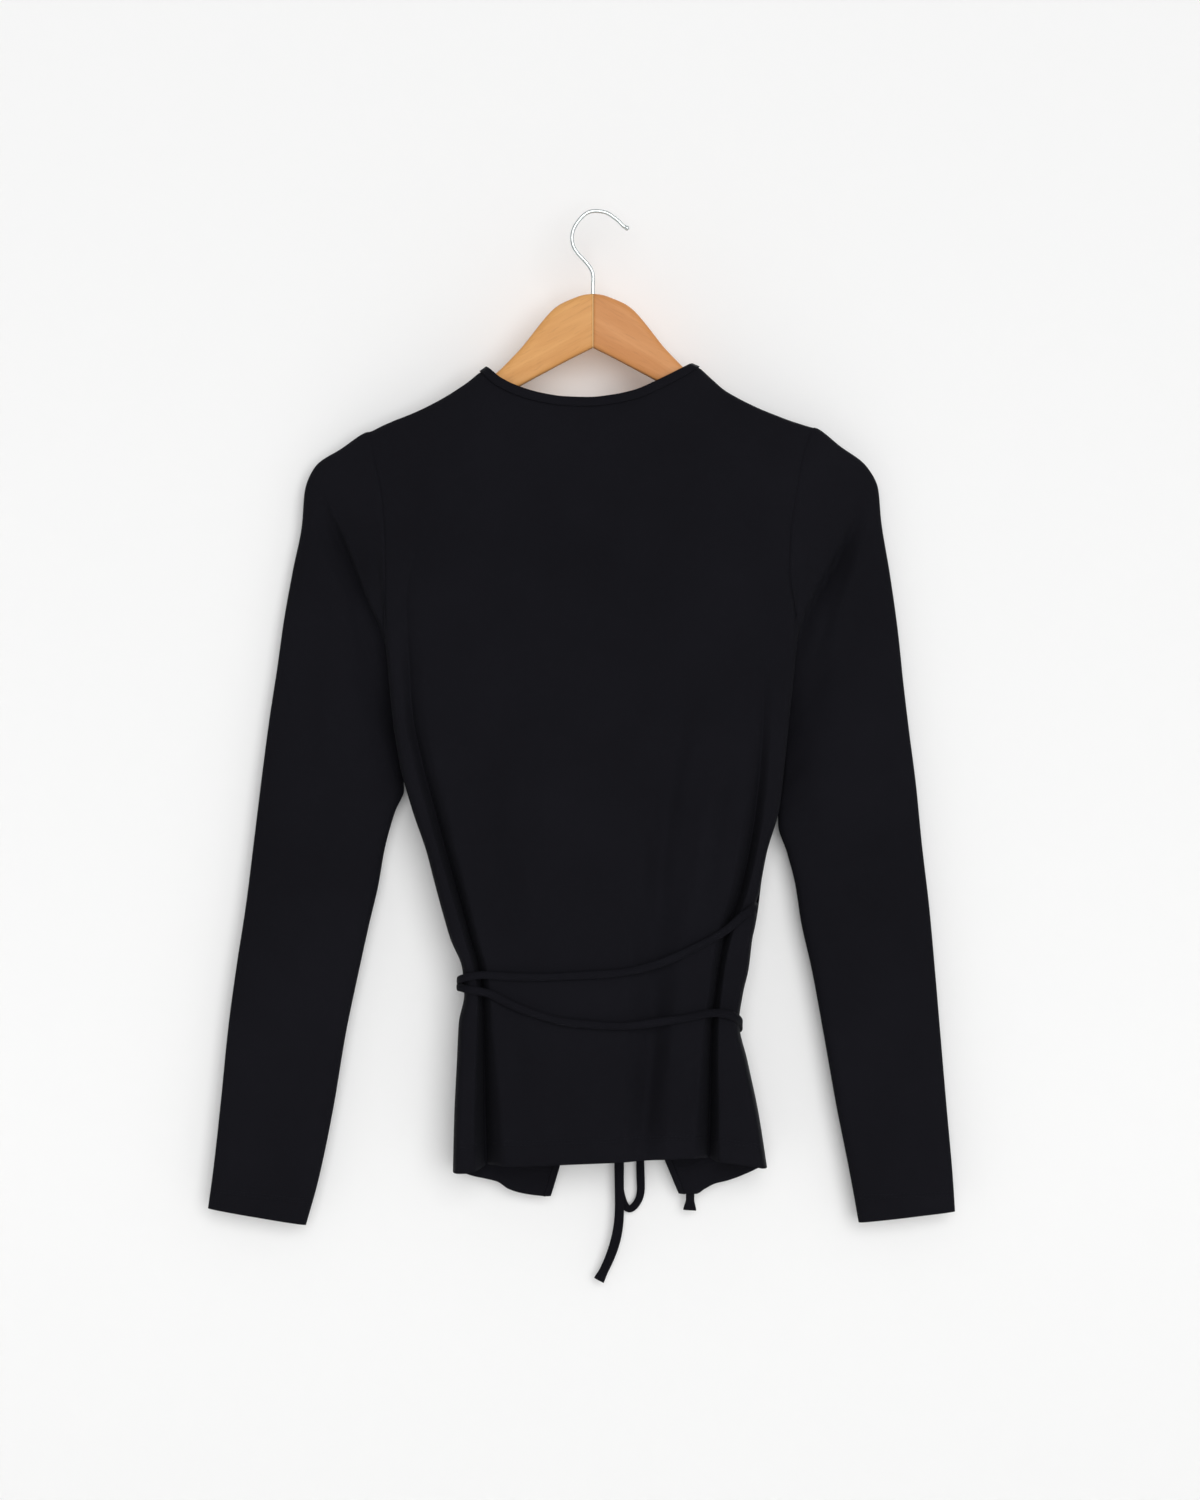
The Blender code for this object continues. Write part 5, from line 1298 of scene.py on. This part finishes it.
def knit_group():
    """Plain jersey: columns of small V stitches, as a height, with slow uneven patches as a mask."""
    tree, given, result = start_group(
        "jersey_knit", {"Vector": None, "Place": None, "Wale": 0.0007, "Course": 0.00055},
        ("Height", "Patches"))
    parts = put(tree, "ShaderNodeSeparateXYZ", {0: given["Vector"]}).outputs
    across = sums(tree, "FRACT", sums(tree, "DIVIDE", parts[0], given["Wale"]))
    from_middle = sums(tree, "MULTIPLY", sums(tree, "ABSOLUTE", sums(tree, "SUBTRACT", across, 0.5)), 2.0)
    down = sums(tree, "DIVIDE", parts[1], given["Course"])
    stitch = sums(tree, "FRACT", sums(tree, "ADD", down, sums(tree, "MULTIPLY", from_middle, 0.5)))
    loop = sums(tree, "SINE", sums(tree, "MULTIPLY", stitch, math.pi))
    gap = sums(tree, "SUBTRACT", 1.0, sums(tree, "POWER", from_middle, 4.0))
    height = sums(tree, "MULTIPLY", loop, gap)
    fuzz = noise(tree, given["Place"], 1400.0, 3.0)
    tree.links.new(sums(tree, "ADD", height, sums(tree, "MULTIPLY", fuzz, 0.5)), result["Height"])
    tree.links.new(noise(tree, given["Place"], 9.0, 4.0, Roughness=0.55), result["Patches"])
    return tree


def grain_group():
    """Straight wood grain: long streaks and fine pores along the first axis, as two masks."""
    tree, given, result = start_group(
        "wood_grain", {"Vector": None, "Stretch": 14.0, "Fineness": 90.0}, ("Streaks", "Pores"))
    scale = put(tree, "ShaderNodeCombineXYZ", {0: sums(tree, "DIVIDE", given["Fineness"], given["Stretch"]),
                                               1: given["Fineness"], 2: given["Fineness"]}).outputs[0]
    stretched = put(tree, "ShaderNodeVectorMath", {0: given["Vector"], 1: scale}, operation="MULTIPLY")
    along = stretched.outputs[0]
    tree.links.new(noise(tree, along, 1.0, 6.0, Roughness=0.6, Distortion=0.7), result["Streaks"])
    tree.links.new(noise(tree, along, 9.0, 2.0, Roughness=0.5), result["Pores"])
    return tree


def start_material(name, **values):
    """A material with its Principled shader, and the shader's plain values."""
    material = bpy.data.materials.new(name)
    material.use_nodes = True
    tree = material.node_tree
    shader = tree.nodes["Principled BSDF"]
    for key, value in values.items():
        shader.inputs[key.replace("_", " ")].default_value = value
    return material, tree, shader


KNIT_DEPTH = 0.00012


def jersey_material(name, group, dark, pale, wale, course, bump, sheen):
    """Black jersey: knit bump, two near blacks in slow patches, and a faint sheen."""
    material, tree, shader = start_material(
        name, Roughness=0.9, Specular_IOR_Level=0.06, Sheen_Weight=sheen, Sheen_Roughness=0.5,
        Sheen_Tint=(0.80, 0.84, 1.0, 1.0))
    place = object_place(tree)
    given = {"Vector": cloth_place(tree), "Place": place, "Wale": wale, "Course": course}
    knit = put(tree, "ShaderNodeGroup", node_tree=group)
    for key, value in given.items():
        if isinstance(value, float):
            knit.inputs[key].default_value = value
        else:
            tree.links.new(value, knit.inputs[key])
    share = ranged(tree, knit.outputs["Patches"], 0.35, 0.65)
    tree.links.new(blend_colours(tree, share, dark, pale), shader.inputs["Base Color"])
    set_relief(tree, shader, knit.outputs["Height"], bump, KNIT_DEPTH)
    return material


GLUE_HALF_WIDTH = 0.0003
GLUE_COLOUR = (0.80, 0.56, 0.28)
PORE_DEPTH = 0.0002


def wood_material(name, group, pale, dark, angle, offset):
    """Lacquered wood: streaks and pores along the arm, with a pale line of glue at the middle."""
    material, tree, shader = start_material(
        name, Specular_IOR_Level=0.3, Coat_Weight=0.06, Coat_Roughness=0.35)
    place = object_place(tree)
    turned = put(tree, "ShaderNodeMapping", {"Vector": place, "Rotation": (0.0, angle, 0.0),
                                             "Location": offset}).outputs[0]
    grain = put(tree, "ShaderNodeGroup", node_tree=group)
    tree.links.new(turned, grain.inputs["Vector"])
    streaks = ranged(tree, grain.outputs["Streaks"], 0.32, 0.68)
    pores = ranged(tree, grain.outputs["Pores"], 0.56, 0.74)
    colour = blend_colours(tree, streaks, pale, dark)
    in_pores = tuple(0.72 * value for value in dark)
    colour = blend_colours(tree, sums(tree, "MULTIPLY", pores, 0.35), colour, in_pores)
    from_middle = sums(tree, "ABSOLUTE", put(tree, "ShaderNodeSeparateXYZ", {0: place}).outputs[0])
    glue = ranged(tree, from_middle, GLUE_HALF_WIDTH, GLUE_HALF_WIDTH * 1.5, 0.75, 0.0)
    colour = blend_colours(tree, glue, colour, GLUE_COLOUR)
    tree.links.new(colour, shader.inputs["Base Color"])
    rough = ranged(tree, grain.outputs["Streaks"], 0.3, 0.7, 0.48, 0.62)
    tree.links.new(rough, shader.inputs["Roughness"])
    set_relief(tree, shader, grain.outputs["Pores"], 0.25, PORE_DEPTH)
    return material


WIRE_PALE = (0.72, 0.76, 0.76)
WIRE_DARK = (0.58, 0.63, 0.63)
WIRE_MARK_DEPTH = 0.00005


def wire_material():
    """Bright plated wire: fine drawing marks along it and a faint uneven tone."""
    material, tree, shader = start_material("bright_wire", Metallic=1.0)
    spots = noise(tree, object_place(tree), 260.0, 4.0)
    marks_at = put(tree, "ShaderNodeMapping", {"Vector": cloth_place(tree), "Scale": (2600.0, 90.0, 1.0)})
    marks = noise(tree, marks_at.outputs[0], 1.0, 2.0)
    colour = blend_colours(tree, ranged(tree, spots, 0.35, 0.7), WIRE_PALE, WIRE_DARK)
    tree.links.new(colour, shader.inputs["Base Color"])
    tree.links.new(ranged(tree, marks, 0.3, 0.7, 0.2, 0.38), shader.inputs["Roughness"])
    set_relief(tree, shader, marks, 0.2, WIRE_MARK_DEPTH)
    return material


# Distances over which a panel's relief grows: from its top edge, its side and its front edge
RELIEF_FROM_TOP = 14.0
RELIEF_FROM_SIDE = 16.0
RELIEF_FROM_EDGE = 9.0
HEM_RELIEF_FROM_SIDE = 3.0
# The ties hold the cloth between two heights, and calm its creases by a share
TIED_TOP = -525.0
TIED_BOTTOM = -655.0
TIED_BLEND = 20.0
TIED_CALM = 0.55
# The cloth dips at its seams
SEAM_DIP = 0.8
SEAM_DIP_HALF = 1.8
SEAM_DIP_FROM_TOP = 8.0
# A sleeve's creases are strongest on its back face, and fade round its two edges by a power
FRONT_CREASE_SHARE = 0.3
FACE_POWER = 0.7
SLEEVE_RELIEF_FROM_TOP = 16.0
SLEEVE_BEND_FROM_TOP = 14.0
SLEEVE_WAVE_SHIFT = 40.0


def panel_relief(name, grid, rows, columns, sides, inwards):
    """Press a panel's creases, waves and hem stitching into its outer face along the depth."""
    x, z = grid[..., 0], grid[..., 2]
    clear = smooth_step(rows / RELIEF_FROM_TOP)[:, None] * smooth_step(columns / RELIEF_FROM_SIDE)[None, :]
    last_fade = RELIEF_FROM_SIDE if sides == 2 else RELIEF_FROM_EDGE
    other = smooth_step((columns[-1] - columns) / last_fade)[None, :]
    between = smooth_step((z - TIED_BOTTOM) / TIED_BLEND) * smooth_step((TIED_TOP - z) / TIED_BLEND)
    tied = 1 - TIED_CALM * between
    depth = (crease_depth(x, z, CREASES[name]) + cloth_waves(x, z)) * clear * other * tied
    side_fade = smooth_step(columns / HEM_RELIEF_FROM_SIDE)[None, :]
    depth += hem_relief(rows[-1] - rows, BACK_HEM_STITCH)[:, None] * side_fade
    from_seam = np.minimum(columns, columns[-1] - columns) if sides == 2 else columns
    top_fade = smooth_step(rows / SEAM_DIP_FROM_TOP)[:, None]
    depth += SEAM_DIP * np.exp(-(from_seam / SEAM_DIP_HALF) ** 2)[None, :] * top_fade
    grid[..., 1] += inwards * depth
    return grid


def sleeve_relief(name, grid, rows):
    """Press a sleeve's creases, waves and cuff stitching inwards, most on its two broad faces."""
    mirror = 1.0 if name.endswith("left") else -1.0
    y = grid[..., 1]
    middle = (y.max(axis=1) + y.min(axis=1)) / 2
    half = (y.max(axis=1) - y.min(axis=1)) / 2
    face = np.clip((middle[:, None] - y) / half[:, None], -1.0, 1.0)
    x, z = grid[..., 0], grid[..., 2]
    broad = np.where(face > 0, 1.0, FRONT_CREASE_SHARE)
    depth = crease_depth(x, z, CREASES[name], mirror) * broad + cloth_waves(x + SLEEVE_WAVE_SHIFT, z)
    depth *= smooth_step(rows / SLEEVE_RELIEF_FROM_TOP)[:, None]
    depth += hem_relief(rows[-1] - rows, CUFF_STITCH)[:, None]
    depth += SEAM_DIP * np.exp(-(rows / SEAM_DIP_HALF) ** 2)[:, None]
    grid[..., 1] += depth * fuller(face, FACE_POWER)
    grid[..., 1] += sleeve_bend(name, x * mirror, z) * smooth_step(rows / SLEEVE_BEND_FROM_TOP)[:, None]
    return grid


def sleeve_bend(name, x, z):
    """How far both faces of a sleeve bend forward together along its sharp fold."""
    away, share = line_distance(x, z, crease_line(SHARP_FOLDS[name]))
    first, last = SHARP_FOLD_WIDTHS
    width = first + (last - first) * smooth_step(share / SHARP_FOLD_WIDENING)
    slow = np.clip(1 - away / width, 0.0, 1.0) ** 2
    quick = smooth_step(1 + away / SHARP_FOLD_STEP)
    fade = smooth_step(share / SHARP_FOLD_START) * smooth_step((1 - share) / SHARP_FOLD_END)
    return SHARP_FOLD_DEPTH * fade * np.where(away > 0, slow, quick)


# Width of the turning of an armhole seam, and how far it draws in, as shares of depth and height
TURNING = 3.0
TURNING_SHARES = np.array([0.16, 0.012])


def seam_turning(grid, inward_x):
    """Lead a sleeve's first ring a little way under the panels, as the seam's turning lies."""
    centre = grid[0].mean(axis=0)
    ring = grid[0].copy()
    ring[:, 1:] += (centre - ring)[:, 1:] * TURNING_SHARES
    ring[:, 0] += inward_x * TURNING
    return np.concatenate((ring[None], grid))


SLEEVE_COLUMN_STEP = 2.2
BAND_STEP = 0.75
NECK_BAND_ROW_STEP = 2.0
BAND_CROWN = 0.5
BAND_THICKNESS = 1.7
BAND_WALL_OFFSET = -0.7


def make_cloth(jersey, thread):
    """Panels, sleeves and bands with their stitching."""
    hem_marks = stitch_marks(BACK_HEM_STITCH)
    cuff_marks = stitch_marks(CUFF_STITCH)
    back = back_points()
    grid, rows, columns = refine(back, marks=hem_marks)
    grid = panel_relief("back", grid, rows, columns, 2, 1.0)
    pieces = {"back": cloth_piece("blouse_back", grid, rows, columns, jersey, "back", flip=True)}
    stitches = {"back": hem_stitches("back_stitches", grid, rows, BACK_HEM_STITCH, -1.0, thread)}
    for side in ("left", "right"):
        points = front_points(side)
        name = "front_" + side
        grid, rows, columns = refine(points, marks=hem_marks)
        grid = panel_relief(name, grid, rows, columns, 1, -1.0)
        pieces[name] = cloth_piece("blouse_" + name, grid, rows, columns, jersey, name, flip=side == "right")
        stitches[name] = hem_stitches(name + "_stitches", grid, rows, BACK_HEM_STITCH, 1.0, thread)
        inward = 1.0 if side == "left" else -1.0
        name = "sleeve_" + side
        grid, rows, columns = refine(sleeve_points(side, armhole_ring(back, points, side)), ring=True,
                                     column_step=SLEEVE_COLUMN_STEP, marks=cuff_marks)
        grid = sleeve_relief(name, grid, rows)
        grid = seam_turning(grid, inward)
        rows = np.concatenate(([-TURNING], rows))
        pieces[name] = cloth_piece("blouse_" + name, grid, rows, columns, jersey, name, ring=True,
                                   flip=side == "left")
        stitches[name] = hem_stitches(name + "_stitches", grid, rows, CUFF_STITCH, 0.0, thread)
        name = "front_band_" + side
        grid, rows, columns = refine(front_band_points(points, side), column_step=BAND_STEP)
        pieces[name] = band_piece(name, grid, rows, columns, jersey, 1.0, side == "right")
    grid, rows, columns = refine(neck_band_points(back), NECK_BAND_ROW_STEP, BAND_STEP)
    pieces["neck_band"] = band_piece("neck_band", grid, rows, columns, jersey, -1.0, False)
    return pieces, stitches


def band_piece(name, grid, rows, columns, jersey, outwards, flip):
    """A folded band: its strip crowned between the seam and the free edge, with a thick wall."""
    share = columns / columns[-1]
    grid[..., 1] += outwards * BAND_CROWN * (1 - (2 * share[None, :] - 1) ** 4)
    return cloth_piece("blouse_" + name, grid, rows, columns, jersey, name, flip=flip,
                       thickness=BAND_THICKNESS, offset=BAND_WALL_OFFSET)


def hem_stitches(name, grid, rows, distance, outwards, thread):
    """Two stitched lines round a hem. Outwards is the depth's sign, or 0 for a ring."""
    normals = grid_normals(grid)
    lines = []
    for line in needle_lines(distance):
        row = int(np.argmin(np.abs(rows[-1] - line - rows)))
        path = grid[row]
        out = normals[row]
        if outwards:
            out = out * np.sign(outwards * np.median(out[:, 1]))
            keep = slice(2, -2)
            path, out = path[keep], out[keep]
        else:
            from_centre = path - path.mean(axis=0)
            out = out * np.sign((out * from_centre).sum(axis=1, keepdims=True))
        lines.append((path, out))
    return stitch_lines(name, lines, thread)


# columns: route, what is at the far end, how it lies
TIE_ROUTES = {
    "tie_left": (TIE_LEFT, "knot", "taut"), "tie_right": (TIE_RIGHT, "knot", "taut"),
    "bow_loop_long": (BOW_LOOP_LONG, "object", "hanging"),
    "bow_loop_short": (BOW_LOOP_SHORT, "object", "hanging"),
    "tie_end_long": (TIE_END_LONG, "bare", "hanging"), "tie_end_short": (TIE_END_SHORT, "bare", "hanging"),
}


def make_ties(jersey):
    """Ties, bow loops and free ends, each a flattened tube along its route, and the knot."""
    knot = knot_piece(jersey)
    for name, (route, far_end, lay) in TIE_ROUTES.items():
        points, line, length = tie_points(route, *TIE_HANG[name])
        made = surface_object("blouse_" + name, points, ring=True, closed=True)
        dress(made, jersey, "jersey", name)


KNOT_CORE_SHARE = 0.9
# columns: tilt about the depth axis, offset across, half width, half thickness
KNOT_WRAPS = [(0.10, -0.6, 3.6, 1.7), (-0.55, 1.4, 3.0, 1.4)]
WRAP_FULLNESS = 0.8


def knot_piece(jersey):
    """The knot: a soft crumpled core with the two ties wrapped once round it."""
    around = np.linspace(0.0, 2 * math.pi, 49)[:-1]
    down = np.linspace(0.0, math.pi, 25)
    theta, phi = np.meshgrid(down, around, indexing="ij")
    crumple = 1 + 0.05 * np.sin(3 * phi + 1.0) * np.sin(theta) + 0.04 * np.sin(5 * theta + 2 * phi)
    size = np.array(KNOT_HALF_SIZE) * KNOT_CORE_SHARE
    core = np.stack((np.sin(theta) * np.cos(phi), np.sin(theta) * np.sin(phi), np.cos(theta)), axis=-1)
    core = np.array(KNOT_CENTRE) + core * crumple[..., None] * size
    made = surface_object("blouse_bow_knot", core, ring=True, flip=True, closed=True)
    wraps = [wrap_points(*row) for row in KNOT_WRAPS]
    wraps = [grid_mesh("wrap", np.concatenate((wrap, wrap[:1])), ring=True) for wrap in wraps]
    close_mesh(made.data, True, *wraps)
    for mesh in wraps:
        bpy.data.meshes.remove(mesh)
    made.data.shade_smooth()
    return dress(made, jersey, "jersey", "bow_knot")


def wrap_points(tilt, offset, half_width, half_thickness):
    """A flat band once round the knot: an upright oval, tilted, with a soft section."""
    around = np.linspace(0.0, 2 * math.pi, 41)[:-1]
    centre = np.array(KNOT_CENTRE)
    size = np.array(KNOT_HALF_SIZE)
    out = np.stack((np.zeros_like(around), np.cos(around), np.sin(around)), axis=1)
    line = out * np.array([0.0, size[1] - half_thickness * 0.6, size[2] - half_thickness * 0.4])
    line[:, 0] += offset
    turn = np.array([[math.cos(tilt), 0.0, -math.sin(tilt)], [0.0, 1.0, 0.0],
                     [math.sin(tilt), 0.0, math.cos(tilt)]])
    side = np.array([1.0, 0.0, 0.0])
    angles = np.arange(16) * math.pi / 8
    across = half_width * fuller(np.cos(angles), WRAP_FULLNESS)
    lift = half_thickness * np.sin(angles)
    points = line[:, None] + side * across[None, :, None] + out[:, None] * lift[None, :, None]
    return centre + points @ turn.T


def make_hanger(woods, wire):
    """Both wooden halves and the wire hook."""
    # The right half's darker wood is painted shade.
    for side, direction, wood in (("left", -1.0, "pale_wood"), ("right", 1.0, "brown_wood")):
        grid = refine(arm_points(direction), WOOD_ROW_STEP, WOOD_COLUMN_STEP, ring=True)[0]
        grid[0, :, 0] = 0.0
        made = surface_object("hanger_" + side + "_wood", close_tube(grid), ring=True, flip=direction > 0,
                              closed=True)
        dress(made, woods[wood], wood, "hanger_" + side)
    line = smooth_route([(x, 0.0, z) for x, z in HOOK_ROUTE], 1.0)
    side, out = tube_normals(line, np.array([[0.0, 1.0, 0.0]]))
    angles = np.arange(WIRE_SIDES) * 2 * math.pi / WIRE_SIDES
    radius = np.full(len(line), WIRE_RADIUS)
    from_tip = np.arange(len(line), dtype=float)[::-1]
    radius *= 1 + TIP_SWELL * np.exp(-((from_tip - TIP_SWELL_AT) / TIP_SWELL_LENGTH) ** 2)
    round_end = np.clip(from_tip / WIRE_RADIUS, 0.0, 1.0)
    radius *= np.sqrt(1 - (1 - round_end) ** 2) * 0.98 + 0.02
    ring = side[:, None] * np.cos(angles)[None, :, None] + out[:, None] * np.sin(angles)[None, :, None]
    points = line[:, None] + ring * radius[:, None, None]
    made = surface_object("hanger_hook_wire", close_tube(points), ring=True, closed=True)
    dress(made, wire, "bright_wire", "hook")


# Floor and wall, in metres
WALL_DEPTH = 0.053
FLOOR_HEIGHT = -1.6
STAGE_REACH = 3.0
FLOOR_COLOUR = (0.66, 0.66, 0.65, 1.0)
WALL_COLOUR = (0.86, 0.86, 0.86, 1.0)


def stage_plane(name, corners, material):
    """A flat square of the stage."""
    mesh = bpy.data.meshes.new(name)
    mesh.from_pydata(corners, [], [(0, 1, 2, 3)])
    mesh.materials.append(material)
    add_object(name, mesh)


def make_stage():
    """A pale floor, and a pale wall close behind that shows from its own side and casts no shadow."""
    floor, tree, shader = start_material("pale_floor", Roughness=0.8)
    shader.inputs["Base Color"].default_value = FLOOR_COLOUR
    reach = STAGE_REACH
    stage_plane("floor", [(-reach, -reach, FLOOR_HEIGHT), (reach, -reach, FLOOR_HEIGHT),
                          (reach, reach, FLOOR_HEIGHT), (-reach, reach, FLOOR_HEIGHT)], floor)
    wall, tree, shader = start_material("pale_wall", Roughness=0.9)
    shader.inputs["Base Color"].default_value = WALL_COLOUR
    clear = put(tree, "ShaderNodeBsdfTransparent")
    behind = put(tree, "ShaderNodeNewGeometry").outputs["Backfacing"]
    shadow = put(tree, "ShaderNodeLightPath").outputs["Is Shadow Ray"]
    gone = sums(tree, "MAXIMUM", behind, shadow)
    mix = put(tree, "ShaderNodeMixShader", {0: gone, 1: shader.outputs[0], 2: clear.outputs[0]})
    tree.links.new(mix.outputs[0], tree.nodes["Material Output"].inputs[0])
    stage_plane("wall", [(-reach, WALL_DEPTH, FLOOR_HEIGHT), (reach, WALL_DEPTH, FLOOR_HEIGHT),
                         (reach, WALL_DEPTH, -FLOOR_HEIGHT), (-reach, WALL_DEPTH, -FLOOR_HEIGHT)], wall)


# Bearings are to the right of the camera, and all angles are in degrees
# columns: name, bearing, height angle, softness, strength
SUNS = [
    ("front_light", 9.0, 7.0, 48.0, 2.14),
    ("side_light", 55.0, 12.0, 50.0, 0.14),
    ("far_light", 165.0, 28.0, 40.0, 2.4),
]
WORLD_STRENGTH = 0.32


def light_studio():
    """Soft suns round the blouse, and an even pale surround."""
    for name, bearing, height, softness, strength in SUNS:
        data = bpy.data.lights.new(name, "SUN")
        data.angle = math.radians(softness)
        data.energy = strength
        across, up = math.radians(bearing), math.radians(height)
        source = Vector((math.sin(across) * math.cos(up), -math.cos(across) * math.cos(up), math.sin(up)))
        add_object(name, data).rotation_euler = source.to_track_quat("Z", "Y").to_euler()
    world = bpy.data.worlds.new("pale_surround")
    world.use_nodes = True
    surround = world.node_tree.nodes["Background"]
    surround.inputs[0].default_value = (1.0, 1.0, 1.0, 1.0)
    surround.inputs[1].default_value = WORLD_STRENGTH
    bpy.context.scene.world = world
    bpy.context.scene.view_settings.view_transform = "Standard"


# columns: material, darker colour, paler colour, width and height of a stitch in metres, bump, sheen
JERSEYS = [
    ("black_jersey", (0.0056, 0.0055, 0.0076), (0.0066, 0.0065, 0.0090), 0.00072, 0.00056, 0.35, 0.008),
    ("black_jersey_tie", (0.0046, 0.0045, 0.0064), (0.0064, 0.0063, 0.0088), 0.00066, 0.0005, 0.4, 0.01),
    ("black_thread", (0.0085, 0.0085, 0.0115), (0.011, 0.011, 0.0145), 0.0003, 0.0004, 0.2, 0.02),
]
# columns: paler colour, darker colour, the grain's slope along the arm, where the grain starts
WOODS = {
    "pale_wood": ((0.68, 0.345, 0.115), (0.59, 0.275, 0.085), 0.50, (0.0, 0.0, 0.0)),
    # The right half's wood is the left half's wood in a darker tone: painted shade on that half.
    "brown_wood": ((0.60, 0.27, 0.092), (0.52, 0.215, 0.068), -0.50, (0.31, 0.2, 0.1)),
}


def main():
    """Make the whole scene."""
    place_camera()
    knit = knit_group()
    grain = grain_group()
    jersey, tie_jersey, thread = [jersey_material(name, knit, *row) for name, *row in JERSEYS]
    woods = {name: wood_material(name, grain, *row) for name, row in WOODS.items()}
    wire = wire_material()
    make_ties(tie_jersey)
    pieces, stitches = make_cloth(jersey, thread)
    make_hanger(woods, wire)
    make_stage()
    light_studio()


main()
